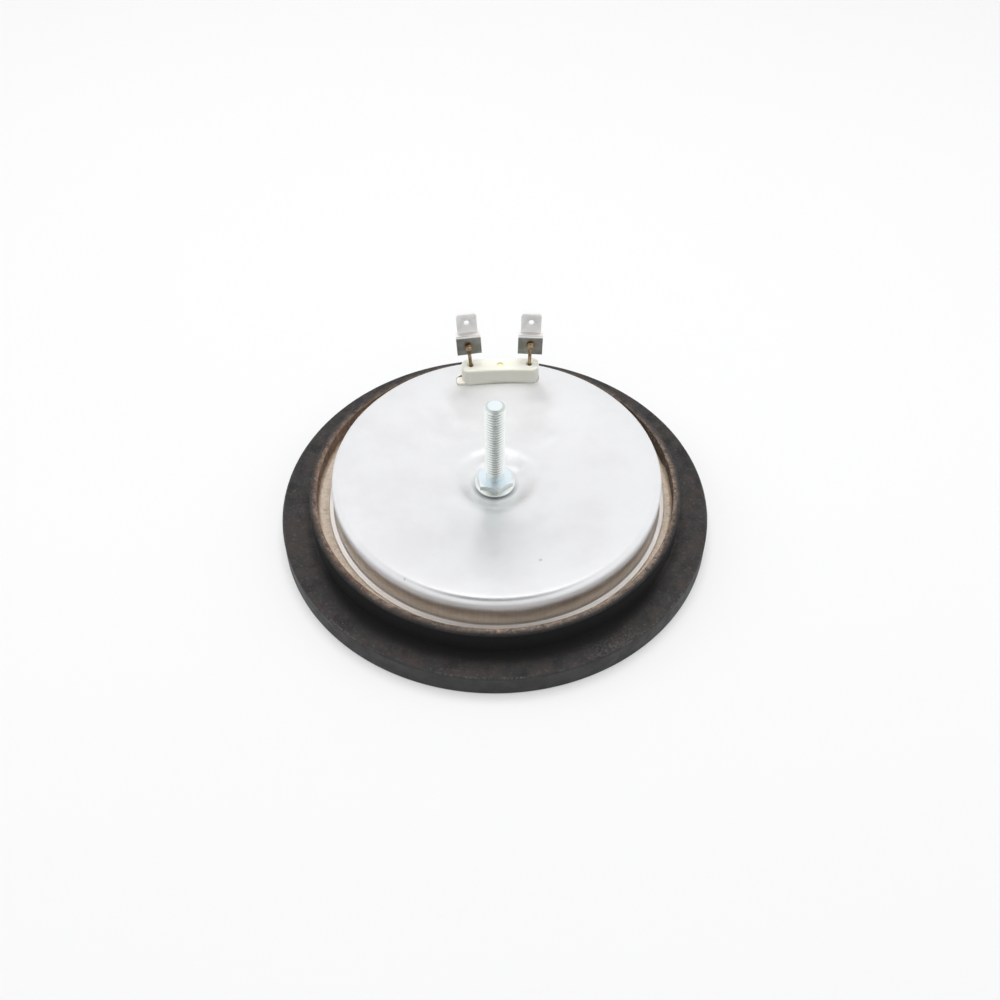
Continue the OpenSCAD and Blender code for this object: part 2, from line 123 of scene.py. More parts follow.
class CastingSettings(bpy.types.PropertyGroup):
    """Sizes and colours of the cast-iron plate."""

    radius: size("Radius", "Outside radius of the plate", cad_high("cast_iron_plate").x / MM)
    flange: size("Flange", "Thickness of the outer flange", 7.5)
    edge: size("Edge", "Rounding of the flange's edges", 0.8)
    ring_radius: size("Ring radius", "Outside radius of the raised ring", 55.9)
    ring_wall: size("Ring wall", "Thickness of the raised ring", 2.1)
    ring_top: size("Ring top", "Level of the ring's land", cad_high("cast_iron_plate").z / MM)
    ring_edge: size("Ring edge", "Rounding of the ring's outer upper edge", 0.5)
    row: size("Row", "Distance between the rows of points on the seen faces", 0.8)
    fillet: size("Fillet", "Fillet at the foot of the ring", 1.6)
    web: size("Web", "Iron between the face and the groove floor", 4.5)
    recess_radius: size("Recess radius", "Radius of the shallow recess in the face", 21)
    recess: size("Recess", "Depth of that recess", 0.6)
    hub_radius: size("Hub radius", "Outside radius of the wall round the centre", 16)
    rib: size("Rib", "Thickness of the hub wall and the groove wall", 2.2)
    boss_radius: size("Boss radius", "Radius of the threaded boss", 9)
    boss_drop: size("Boss drop", "How far the boss stands below the land", 0.5)
    bore_radius: size("Bore radius", "Radius of the boss's hole", 3.05)
    bore_floor: size("Bore floor", "Level of the hole's floor", 4.3)
    ring_pitch: size("Ring pitch", "Pitch of the fine turned rings on the face", 0.35)
    lump: size("Lumps", "Height of the lumps that the sand mould leaves", 0.07)
    chip: size("Chips", "Height of the roughness of the ring's inner wall", 0.12)
    turned_level: size("Turned level", "Level up to which the rim is turned smooth", 0.9)
    steps: whole("Steps", "Steps round the axis", 512)
    iron: tint("Iron", "Colour of the blackened iron", (0.0255, 0.0245, 0.0245))
    warm: tint("Warm iron", "Colour of the reddish patches", (0.040, 0.0325, 0.030))
    black: tint("Black iron", "Colour of the blackest patches", (0.014, 0.0145, 0.0135))
    turned: tint("Turned iron", "Colour of the turned edge of the flange", (0.034, 0.034, 0.035))
    # Painted shade: darkens the ring's outer wall and the flange round its foot
    painted_shade: tint("Shadowing", "Colour of the ring's outer wall and foot", (0.009, 0.0085, 0.0085))
    rust: tint("Rust", "Colour of the rust inside the ring", (0.055, 0.033, 0.022))
    scale: tint("Scale", "Colour of the pale scale on the rust", (0.42, 0.31, 0.21))
    dust: tint("Dust", "Colour of the dust on the ring's land", (0.31, 0.235, 0.185))
    # Also painted onto the left of the ring's inner wall as painted light
    clay_and_lit_wall: tint("Clay", "Colour of the dust's redder patches", (0.24, 0.150, 0.105))
    bare: tint("Bare", "Colour of the iron where its edges are worn", (0.085, 0.082, 0.080))


class CompoundSettings(bpy.types.PropertyGroup):
    """Sizes and colours of the embedding compound."""

    radius: size("Radius", "Outside radius of the compound", 53.8)
    hub_radius: size("Hub radius", "Inside radius of the compound", 16.1)
    floor: size("Floor", "Level of the groove floor", 4.5)
    top: size("Top", "Level of the compound", cad_high("insulating_compound").z / MM)
    climb: size("Climb", "Height to which it clings to the ring", 1.5)
    shoulder: size("Shoulder", "Width over which it climbs", 1)
    under_lip: size("Under lip", "How far its rough strip reaches under the cover's lip", 0.6)
    pit: size("Pit", "Depth of its deepest pits", 0.3)
    grain: size("Grain", "Height of the coarse grains", 0.16)
    steps: whole("Steps", "Steps round the axis", 720)
    sand: tint("Sand", "Colour of the compound", (0.675, 0.58, 0.485))
    brown: tint("Brown", "Colour of the compound's brown grains", (0.44, 0.335, 0.25))
    # Painted shade where the compound meets the ring's wall
    edge: tint("Edge", "Colour of the compound by the ring", (0.20, 0.125, 0.075))
    speck: tint("Speck", "Colour of the dark specks", (0.22, 0.14, 0.09))


class CoverSettings(bpy.types.PropertyGroup):
    """Sizes and colours of the drawn cover."""

    radius: size("Radius", "Outside radius of the cover's wall", 49.3)
    lip_radius: size("Lip radius", "Outside radius of the lip", 50.9)
    foot: size("Foot", "Level of the lip's underside", cad_low("cover_plate").z / MM)
    top: size("Top", "Level of the rim", cad_high("cover_plate").z / MM)
    sheet: size("Sheet", "Thickness of the sheet", 0.6)
    corner: size("Corner", "Radius between the wall and the face", 2)
    lip_corner: size("Lip corner", "Radius between the wall and the lip", 0.5)
    lip_edge: size("Lip edge", "Rounding of the lip's edge", 0.2)
    dish_radius: size("Dish radius", "Radius at which the dish begins", 46.1)
    dimple_radius: size("Dimple radius", "Radius at which the dimple begins", 13.5)
    dimple_rise: size("Dimple rise", "Height of the dimple's brim over the seat", 2.1)
    seat_radius: size("Seat radius", "Radius of the flat seat under the collar", 6.7)
    seat: size("Seat", "Level of that seat", cad_low("collar_stud").z / MM + 9.5)
    play: size("Play", "How far the cover has settled to one side", 0.5)
    hole_radius: size("Hole radius", "Radius of the stud's hole", 3.2)
    opening_gap: size("Opening gap", "Clearance round the terminal block", 0.12)
    key_gap: size("Key gap", "Clearance round the block's key", 0.06)
    still_radius: size("Still radius", "Radius within which there are no dents", 6.5)
    still_rim: size("Still rim", "Width over which they fade out towards the rim", 4)
    steps: whole("Steps", "Steps round the axis", 360)
    metal: tint("Metal", "Colour of the aluminised sheet", (0.84, 0.845, 0.855))
    dull: tint("Dull", "Colour of its dull patches", (0.79, 0.79, 0.80))
    warm: tint("Warm", "Colour of the lip", (0.98, 0.94, 0.90))
    # Painted shade on the wall, for the dark brown that it mirrors from the ring and compound
    painted_shade: tint("Shadowing", "Colour of the shaded streaks on the wall", (0.62, 0.585, 0.55))
    # Painted highlight before the terminal block
    bright: tint("Bright", "Colour of the sheet before the terminal block", (0.96, 0.96, 0.965))
    scar: tint("Scar", "Colour of the nick and the scratch", (0.36, 0.36, 0.37))
    # Painted shadow under the collar
    painted_shadow: tint("Shadow", "Colour of the grime round the collar", (0.25, 0.26, 0.27))


class StudSettings(bpy.types.PropertyGroup):
    """Sizes and colours of the fixing stud and its collar."""

    radius: size("Radius", "Crest radius of the thread", 3)
    root_radius: size("Root radius", "Root radius of the thread", 2.42)
    pitch: size("Pitch", "Pitch of the thread", 1)
    neck_radius: size("Neck radius", "Radius of the smooth neck", 2.8)
    neck: size("Neck", "Length of the smooth neck", 2)
    root: size("Root", "Length of the stud below the collar", 9.5)
    tip: size("Tip", "Level of the stud's end", cad_high("collar_stud").z / MM)
    chamfer: size("Chamfer", "Chamfer of the ends", 0.8)
    flange_radius: size("Flange radius", "Radius of the collar's round flange", 6.1)
    flange: size("Flange", "Thickness of that flange at its edge", 0.7)
    flange_edge: size("Flange edge", "Rounding of its upper edge, twice that of its lower", 0.3)
    collar: size("Collar", "Height of the collar", 3.1)
    flats: size("Flats", "Width across the flats of the collar", 10)
    hex_turn: turn("Hex turn", "Turn of the hexagon", 42)
    steps: whole("Steps", "Steps in one turn of the thread", 56)
    zinc: tint("Zinc", "Colour of the zinc plate", (0.92, 0.96, 0.94))
    shade: tint("Shade", "Colour of the plate's passivated patches", (0.86, 0.92, 0.91))
    blue: tint("Blue", "Colour of the passivated top of the collar", (0.79, 0.88, 0.935))
    # Painted shade in the thread's roots, on the end's chamfer and by the hexagon
    groove: tint("Groove", "Colour in the thread's roots", (0.48, 0.52, 0.50))


class BlockSettings(bpy.types.PropertyGroup):
    """Sizes and colours of the ceramic terminal block and its beads."""

    distance: size("Distance", "Distance of the block from the centre", 40.8)
    turn: turn("Turn", "Turn of the block in its opening", 4.5)
    width: size("Width", "Length of the neck", 24.6)
    depth: size("Depth", "Depth of the neck", 6.2)
    corner: size("Corner", "Corner radius of the neck", 2.4)
    waist: size("Waist", "Depth of the waist in both long sides", 0.35)
    foot_step: size("Foot step", "How far the foot is larger all round", 1)
    foot: size("Foot", "Level of the foot's underside", cad_low("terminal_block").z / MM)
    foot_top: size("Foot top", "Level of the foot's upper side", 19.97)
    top: size("Top", "Level of the block's top", cad_high("terminal_block").z / MM)
    edge: size("Edge", "Rounding of the top's edges", 0.6)
    key_width: size("Key width", "How far the key stands beside the neck", 1.7)
    key_corner: size("Key corner", "Corner radius of the key", 1)
    key_back: size("Key back", "How far the key stands behind the neck's front", 0.1)
    key_height: size("Key height", "Height of the key above the foot", 2)
    key_edge: size("Key edge", "Rounding of the key's upper edges", 0.3)
    tunnel_width: size("Tunnel width", "Width of the tunnel for the wires", 4.6)
    tunnel_height: size("Tunnel height", "Height of that tunnel", 5)
    tunnel_corner: size("Tunnel corner", "Corner radius of the tunnel's ends", 0.05)
    hole_offset: size("Hole offset", "Distance of each wire hole from the middle", 9.3)
    hole_radius: size("Hole radius", "Radius of the wire holes", 0.65)
    mouth_radius: size("Mouth radius", "Radius of the holes' mouths", 1.1)
    mouth_depth: size("Mouth depth", "Depth of those mouths", 0.5)
    blind_radius: size("Blind radius", "Radius of the blind hole in the middle", 1)
    blind_depth: size("Blind depth", "Depth of that hole", 0.7)
    ivory: tint("Ivory", "Colour of the fired ceramic", (0.97, 0.95, 0.84))
    grey: tint("Grey", "Colour of its greyer patches", (0.90, 0.89, 0.79))
    # Painted shade in the wire holes
    stain: tint("Shadowed", "Colour of the stain in the wire holes", (0.60, 0.50, 0.34))
    # Painted light: the yellow glow of light bouncing in the blind hole
    straw: tint("Straw", "Colour inside the blind hole", (0.95, 0.90, 0.62))


class LeadSettings(bpy.types.PropertyGroup):
    """Sizes and colours of the lead wires."""

    radius: size("Radius", "Radius of the wire", 0.55)
    bend: size("Bend", "Distance from a corner at which its bend begins", 0.9)
    rise: size("Rise", "Level of the wires' run under the cover", 13.2)
    pin_top: size("Pin top", "Level of the coil pins' tops", cad_high("inner_coil_pin").z / MM)
    up: size("Up", "Length of the wire above the block", 8.4)
    elbow_out: size("Elbow", "Distance of the left elbow from its hole", 8)
    left_lean: turn("Left lean", "Lean of the left wire", -5)
    right_lean: turn("Right lean", "Lean of the right wire", 1)
    nugget: size("Nugget", "Radius of the weld nugget", 1.1)
    hollow: size("Hollow", "Depth of the hollow round the nugget's crown", 0.25)
    straw: tint("Straw", "Colour of the heat-tinted wire", (0.44, 0.335, 0.21))
    brown: tint("Brown", "Colour of the burnt wire", (0.13, 0.08, 0.04))
    bright: tint("Bright", "Colour of the weld nuggets", (0.72, 0.60, 0.42))
    oxide: tint("Oxide", "Colour of the oxidised resistance wire", (0.20, 0.17, 0.15))
    pale_oxide: tint("Pale oxide", "Colour of its paler patches", (0.34, 0.29, 0.24))


class TabSettings(bpy.types.PropertyGroup):
    """Sizes and colours of the push-on tabs."""

    sheet: size("Sheet", "Thickness of the tab", 0.8)
    foot_width: size("Foot width", "Width of the welded part", 7.7)
    foot_height: size("Foot height", "Height of the welded part", 7.4)
    blade_width: size("Blade width", "Width of the blade", 6.3)
    blade_length: size("Blade length", "Length of the blade", 7.2)
    jog: size("Jog", "How far the blade is set back", 1.9)
    chamfer: size("Chamfer", "Corner chamfer of the blade's end", 1.1)
    edge: size("Edge", "Rounding of the tab's edges", 0.07)
    hole_radius: size("Hole radius", "Radius of the hole in the blade", 0.85)
    hole_in: size("Hole in", "Distance of the hole from the blade's end", 3.2)
    weld_face: size("Weld face", "Distance of the tab's face from its wire's axis", 0.6)
    left_rise: size("Left rise", "Height of the left tab above the block", 4)
    right_rise: size("Right rise", "Height of the right tab above the block", 3.4)
    left_lean: turn("Left lean", "Lean of the left tab", -3)
    right_lean: turn("Right lean", "Lean of the right tab", 1)
    left_turn: turn("Left turn", "Turn of the left tab about its wire", 10)
    right_turn: turn("Right turn", "Turn of the right tab about its wire", 0)
    nickel: tint("Nickel", "Colour of the nickel plate", (0.95, 0.93, 0.915))
    worn: tint("Worn", "Colour of its dull patches", (0.83, 0.82, 0.80))
    smoke: tint("Smoke", "Colour of the smoked welded part", (0.175, 0.175, 0.15))
    ash: tint("Ash", "Colour of the paler smoked patches", (0.27, 0.265, 0.235))
    straw: tint("Straw", "Colour of the heat tint round the weld", (0.30, 0.18, 0.08))


class StageSettings(bpy.types.PropertyGroup):
    """Camera, lamps and floor."""

    eye: vector("Eye", "Where the camera stands", (0.01014, -0.24552, 0.28419))
    aim: vector("Aim", "The point at which it looks", (0.001285, 0.007007, 0.0))
    roll: turn("Roll", "Roll of the camera about its own axis", 0.2)
    lens: FloatProperty(name="Lens", description="Focal length in mm", default=43.3, min=1)
    floor: tint("Floor", "Colour of the floor", (0.90, 0.90, 0.905))
    ambient: share("Ambient", "Strength of the room's own light", 0.40)
    shown: share("Shown", "Share of the floor's colour that the camera sees", 0.56)
    lift: share("Lift", "How much whiter the floor looks than it is lit", 0.43)
    white: share("White", "Strength of the room where it is seen", 1.04)
    card: share("Card", "Strength of the dark card over the camera", 0.2)
    card_way: vector("Card way", "Direction of the card", (0, -0.50, 0.86), "DIRECTION")
    card_edge: turn("Card edge", "Angle from the card's middle at which it begins", 36)
    card_core: turn("Card core", "Angle from its middle within which it is darkest", 12)
    floor_radius: size("Floor radius", "Radius of the floor", 6000)
    floor_gap: size("Floor gap", "How far the floor lies below the cooking face", 0.02)
    white_from: size("White from", "Radius at which the floor begins to whiten", 450)
    white_to: size("White to", "Radius beyond which it is white", 1100)


# The sheet's swelling before the terminal block and its handling dents, in millimetres: the
# middle's x and y, the stretch along x, the reach and the height
DENTS = (
    (0, 38.6, 2.6, 6.0, 0.65),
    (3.2, 8.4, 1, 2.6, 0.30),
    (6.9, 5.4, 1, 3.0, -0.30),
    (-4.6, 5.6, 1, 3.2, -0.22),
    (0, 19, 1.4, 12, 0.18),
    (0, -15, 1.3, 11, -0.16),
)

# Name, place, width, height, watts and whether the metal mirrors it
LAMPS = (
    ("top_softbox", (0.0, 0.1, 0.95), 0.6, 0.6, 5.85, False),
    ("left_softbox", (-0.8, 0.2, 0.6), 0.4, 0.4, 1.22, False),
    ("right_softbox", (0.8, 0.2, 0.6), 0.4, 0.4, 0.87, False),
    ("rim_softbox", (0.0, 0.18, 0.9), 0.4, 0.3, 0.34, True),
)


# ---------------------------------------------------------------- meshes


def plate(points):
    """One flat face through the points."""
    bm = bmesh.new()
    bm.faces.new([bm.verts.new(point) for point in points])
    return bm


def bevel(bm, geom, offset, segments, affect="EDGES", clamp=False):
    """Rounds corners or edges."""
    bmesh.ops.bevel(
        bm, geom=geom, offset=offset, segments=segments, profile=0.5, affect=affect, material=-1,
        clamp_overlap=clamp,
    )
    return bm


def shift(bm, vec, verts=None):
    """Moves some vertices, or all of them."""
    bmesh.ops.translate(bm, vec=vec, verts=bm.verts[:] if verts is None else verts)
    return bm


def only(kind, geom):
    """The vertices or the edges of a list of mixed geometry."""
    return [g for g in geom if isinstance(g, kind)]


def lathe(outline, steps, rounds=()):
    """Turns a closed outline of (radius, height) points about Z. rounds holds pairs of the
    outline's corners to round, by their places in it, and a radius."""
    bm = plate([(r, 0, z) for r, z in outline])
    for corners, radius in rounds:
        spots = [Vector((outline[k][0], 0, outline[k][1])) for k in corners]
        picked = [v for v in bm.verts if any((v.co - s).length < SAME_POINT for s in spots)]
        bevel(bm, picked, radius, 6, "VERTICES")
    bmesh.ops.delete(bm, geom=bm.faces[:], context="FACES_ONLY")
    bmesh.ops.spin(
        bm, geom=bm.verts[:] + bm.edges[:], cent=(0, 0, 0), axis=UP, dvec=(0, 0, 0),
        angle=FULL_TURN, steps=steps, use_merge=True, use_duplicate=False,
    )
    return closed(bm)


def closed(bm):
    """Merges doubles, closes what is open at the poles and turns the faces outwards."""
    bmesh.ops.remove_doubles(bm, verts=bm.verts[:], dist=SAME_POINT)
    bmesh.ops.dissolve_degenerate(bm, edges=bm.edges[:], dist=SAME_POINT)
    bmesh.ops.recalc_face_normals(bm, faces=bm.faces[:])
    return bm


def drum(radius, low, high, steps=48, top_radius=None):
    """A closed drum or cone between two levels."""
    bm = bmesh.new()
    bmesh.ops.create_cone(
        bm, cap_ends=True, segments=steps, radius1=radius,
        radius2=radius if top_radius is None else top_radius, depth=high - low,
    )
    return shift(bm, (0, 0, (low + high) / 2))


def cuboid(*sides):
    """A box about the origin."""
    bm = bmesh.new()
    bmesh.ops.create_cube(bm, size=1)
    bmesh.ops.scale(bm, vec=sides, verts=bm.verts[:])
    return bm


def joined(*parts):
    """All the parts in one bmesh."""
    whole = bmesh.new()
    for part in parts:
        scrap = bpy.data.meshes.new("scrap")
        part.to_mesh(scrap)
        part.free()
        whole.from_mesh(scrap)
        bpy.data.meshes.remove(scrap)
    return whole


def moved(bm, matrix):
    """The bmesh, put in its place."""
    bmesh.ops.transform(bm, matrix=matrix, verts=bm.verts[:])
    return bm


def placed(name, bm, finish=None):
    """A new object of the mesh."""
    mesh = bpy.data.meshes.new(name)
    bm.to_mesh(mesh)
    bm.free()
    if finish:
        mesh.materials.append(finish)
    made = bpy.data.objects.new(name, mesh)
    bpy.context.scene.collection.objects.link(made)
    return made


def carve(body, tool, operation="DIFFERENCE"):
    """The body with the tool's shape cut out of it, joined to it, or kept from it."""
    pair = placed("carved", body), placed("tool", tool)
    cut = pair[0].modifiers.new("cut", "BOOLEAN")
    cut.operation = operation
    cut.solver = "EXACT"
    cut.object = pair[1]
    result = bmesh.new()
    result.from_object(pair[0], bpy.context.evaluated_depsgraph_get())
    for mesh in [thing.data for thing in pair]:
        bpy.data.meshes.remove(mesh)
    return closed(result)


def rounded_plan(width, depth, corner, cuts=0):
    """A flat face, a rectangle with round corners. Its sides may be subdivided first."""
    bm = bmesh.new()
    bmesh.ops.create_grid(bm, x_segments=1, y_segments=1, size=0.5)
    bmesh.ops.scale(bm, vec=(width, depth, 1), verts=bm.verts[:])
    bevel(bm, bm.verts[:], corner, 8, "VERTICES")
    if cuts:
        long_sides = [e for e in bm.edges if abs(e.verts[0].co.y - e.verts[1].co.y) < SAME_POINT]
        bmesh.ops.subdivide_edges(bm, edges=long_sides, cuts=cuts)
    return bm


def drawn_out(bm, vec):
    """The flat face, drawn out into a closed prism."""
    made = bmesh.ops.extrude_face_region(bm, geom=bm.faces[:], use_keep_orig=True)["geom"]
    shift(bm, vec, only(bmesh.types.BMVert, made))
    bmesh.ops.recalc_face_normals(bm, faces=bm.faces[:])
    return bm


def raised(bm, low, high):
    """The flat face, raised into a closed prism between two levels."""
    return drawn_out(shift(bm, (0, 0, low)), (0, 0, high - low))


def soften_level(bm, level, offset):
    """Rounds the sharp edges that lie on one level."""
    edges = [
        e for e in bm.edges
        if all(abs(v.co.z - level) < SAME_POINT for v in e.verts)
        and e.is_manifold and e.calc_face_angle(0) > SHARP
    ]
    return bevel(bm, edges, offset, 4)


def tube(points, radius, bend, sides=20):
    """A round wire through the points, with its corners rounded."""
    path = [points[0]]
    for before, corner, after in zip(points, points[1:], points[2:]):
        start = corner + (before - corner).normalized() * bend
        end = corner + (after - corner).normalized() * bend
        for k in range(7):
            t = k / 6
            path.append(start * (1 - t) ** 2 + corner * 2 * t * (1 - t) + end * t * t)
    path.append(points[-1])
    bm = bmesh.new()
    ring = bmesh.ops.create_circle(bm, cap_ends=False, segments=sides, radius=radius)["verts"]
    heading = (path[1] - path[0]).normalized()
    bmesh.ops.transform(
        bm, matrix=Matrix.Translation(path[0]) @ UP.rotation_difference(heading).to_matrix().to_4x4(),
        verts=ring,
    )
    bmesh.ops.contextual_create(bm, geom=ring)
    edges = [e for e in bm.edges if all(v in ring for v in e.verts)]
    for k in range(1, len(path)):
        onward = (path[min(k + 1, len(path) - 1)] - path[k - 1]).normalized()
        made = bmesh.ops.extrude_edge_only(bm, edges=edges)["geom"]
        verts, edges = only(bmesh.types.BMVert, made), only(bmesh.types.BMEdge, made)
        swing = heading.rotation_difference(onward).to_matrix().to_4x4()
        spot = Matrix.Translation(path[k]) @ swing @ Matrix.Translation(-path[k - 1])
        bmesh.ops.transform(bm, matrix=spot, verts=verts)
        heading = onward
    bmesh.ops.contextual_create(bm, geom=edges)
    return closed(bm)


def show(name, bm, finish, slot, *replaced):
    """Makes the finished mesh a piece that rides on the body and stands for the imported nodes."""
    for face in bm.faces:
        face.smooth = True
    for edge in bm.edges:
        edge.smooth = edge.calc_face_angle(0) < SHARP
    piece = placed(name, bm, finish)
    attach(piece, BODY)
    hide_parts(*replaced)


def dress(node, finish):
    """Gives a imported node, whose shape is right as it is, its finish."""
    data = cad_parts[node].data
    data.materials.clear()
    data.materials.append(finish)


def radius_of(point):
    """Distance from the stud's axis."""
    return math.hypot(point.x, point.y)


def hump(distance, reach):
    """A soft bump: 1 at no distance, 0 from reach outwards."""
    t = max(0.0, 1 - (distance / reach) ** 2)
    return t * t


def swelling(point, fineness, octaves):
    """Fractal noise at a point, the same in every run."""
    return noise.fractal(point, fineness, 2.0, octaves)


def ease(t):
    """Smooth step from 0 to 1."""
    t = min(1.0, max(0.0, t))
    return t * t * (3 - 2 * t)


# ---------------------------------------------------------------- materials


SOCKETS = {
    "colour": "Base Color", "metal": "Metallic", "rough": "Roughness", "normal": "Normal",
    "specular": "Specular IOR Level", "subsurface": "Subsurface Weight",
    "subsurface_scale": "Subsurface Scale", "glow": "Emission Strength",
    "glow_colour": "Emission Color",
}


class Nodes:
    """A node tree in the making. Its methods add a node and return the socket it gives."""

    def __init__(self, tree):
        self.tree = tree

    def node(self, kind, out=0, feed=(), **settings):
        """Adds a node. feed holds (input, socket or value) pairs."""
        made = self.tree.nodes.new(kind)
        for key, value in settings.items():
            setattr(made, key, value)
        for key, value in feed:
            self.plug(made.inputs[key], value)
        return made.outputs[out]

    def plug(self, socket, value):
        """Links a socket, or sets its value."""
        if isinstance(value, bpy.types.NodeSocket):
            self.tree.links.new(value, socket)
        elif socket.type == "RGBA" and len(value) == 3:
            socket.default_value = (*value, 1)
        else:
            socket.default_value = value

    def math(self, operation, *values):
        """A number worked out from others."""
        return self.node("ShaderNodeMath", feed=list(enumerate(values)), operation=operation)

    def plus(self, first, second):
        """The sum of two numbers."""
        return self.math("ADD", first, second)

    def times(self, first, *others):
        """The product of several numbers."""
        for other in others:
            first = self.math("MULTIPLY", first, other)
        return first

    def fade(self, value, low, high, start=0.0, end=1.0):
        """Start where the value is low, end where it is high, smooth between."""
        return self.node(
            "ShaderNodeMapRange", interpolation_type="SMOOTHSTEP",
            feed=[("Value", value), ("From Min", low), ("From Max", high),
                  ("To Min", start), ("To Max", end)],
        )

    def seen(self):
        """1 for the rays that see the background, straight on or in a reflection, 0 for the rest."""
        rays = self.tree.nodes.new("ShaderNodeLightPath").outputs
        either = self.math("MAXIMUM", rays["Is Camera Ray"], rays["Is Glossy Ray"])
        return self.math("MAXIMUM", either, rays["Is Transmission Ray"])


class Finish(Nodes):
    """A material in the making, with the colour that has been laid on so far."""

    def __init__(self, name, colour):
        self.material = bpy.data.materials.new(name)
        self.material.use_nodes = True
        super().__init__(self.material.node_tree)
        self.place = self.node("ShaderNodeTexCoord", out="Object")
        self.colour = colour

    def blend(self, cover, first, second):
        """The second colour over the first, where the cover is 1."""
        made = self.tree.nodes.new("ShaderNodeMix")
        made.data_type = "RGBA"
        colours = [s for s in made.inputs if s.type == "RGBA"]
        for socket, value in zip((made.inputs["Factor"], *colours), (cover, first, second)):
            self.plug(socket, value)
        return next(s for s in made.outputs if s.type == "RGBA")

    def paint(self, cover, colour):
        """Lays a colour over what is there, where the cover is 1."""
        self.colour = self.blend(cover, self.colour, colour)

    def done(self, **values):
        """The finished material. The values have the short names in SOCKETS."""
        shader = self.tree.nodes["Principled BSDF"]
        for key, value in (("colour", self.colour), *values.items()):
            self.plug(shader.inputs[SOCKETS[key]], value)
        return self.material

    def past(self, value, mark, low, high, start=0.0, end=1.0):
        """A fade of lengths, from low to high in millimetres past a mark."""
        return self.fade(value, mark + low * MM, mark + high * MM, start, end)

    def noise(self, scale, detail=3.0, rough=0.55, at=None, stretch=None):
        """Soft noise with this many lumps to the metre."""
        spot = at or self.place
        if stretch:
            spot = self.node("ShaderNodeMapping", feed=[("Vector", spot), ("Scale", stretch)])
        return self.node(
            "ShaderNodeTexNoise", out="Fac",
            feed=[("Vector", spot), ("Scale", scale), ("Detail", detail), ("Roughness", rough)],
        )

    def cells(self, scale):
        """Grains with this many to the metre."""
        return self.node(
            "ShaderNodeTexVoronoi", out="Distance", feed=[("Vector", self.place), ("Scale", scale)]
        )

    def axes(self):
        """The X, Y and Z of the place on the piece."""
        made = self.tree.nodes.new("ShaderNodeSeparateXYZ")
        self.plug(made.inputs[0], self.place)
        return made.outputs[:]

    def combined(self, **feed):
        """A place from its X, Y and Z."""
        return self.node("ShaderNodeCombineXYZ", feed=feed.items())

    def radius(self, aside=0.0):
        """Distance from an upright axis that stands this far from the stud's, along X."""
        x, y, _ = self.axes()
        flat = self.combined(X=self.math("SUBTRACT", x, aside), Y=y)
        return self.node("ShaderNodeVectorMath", out="Value", operation="LENGTH", feed=[(0, flat)])

    def distance(self, point):
        """Distance from a point of the piece."""
        return self.node(
            "ShaderNodeVectorMath", out="Value", operation="DISTANCE",
            feed=[(0, self.place), (1, point)],
        )

    def bump(self, height, depth, strength, over=None):
        """Relief of this depth in millimetres, over other relief if there is some."""
        feed = [("Height", height), ("Distance", depth * MM), ("Strength", strength)]
        if over is not None:
            feed.append(("Normal", over))
        return self.node("ShaderNodeBump", feed=feed)


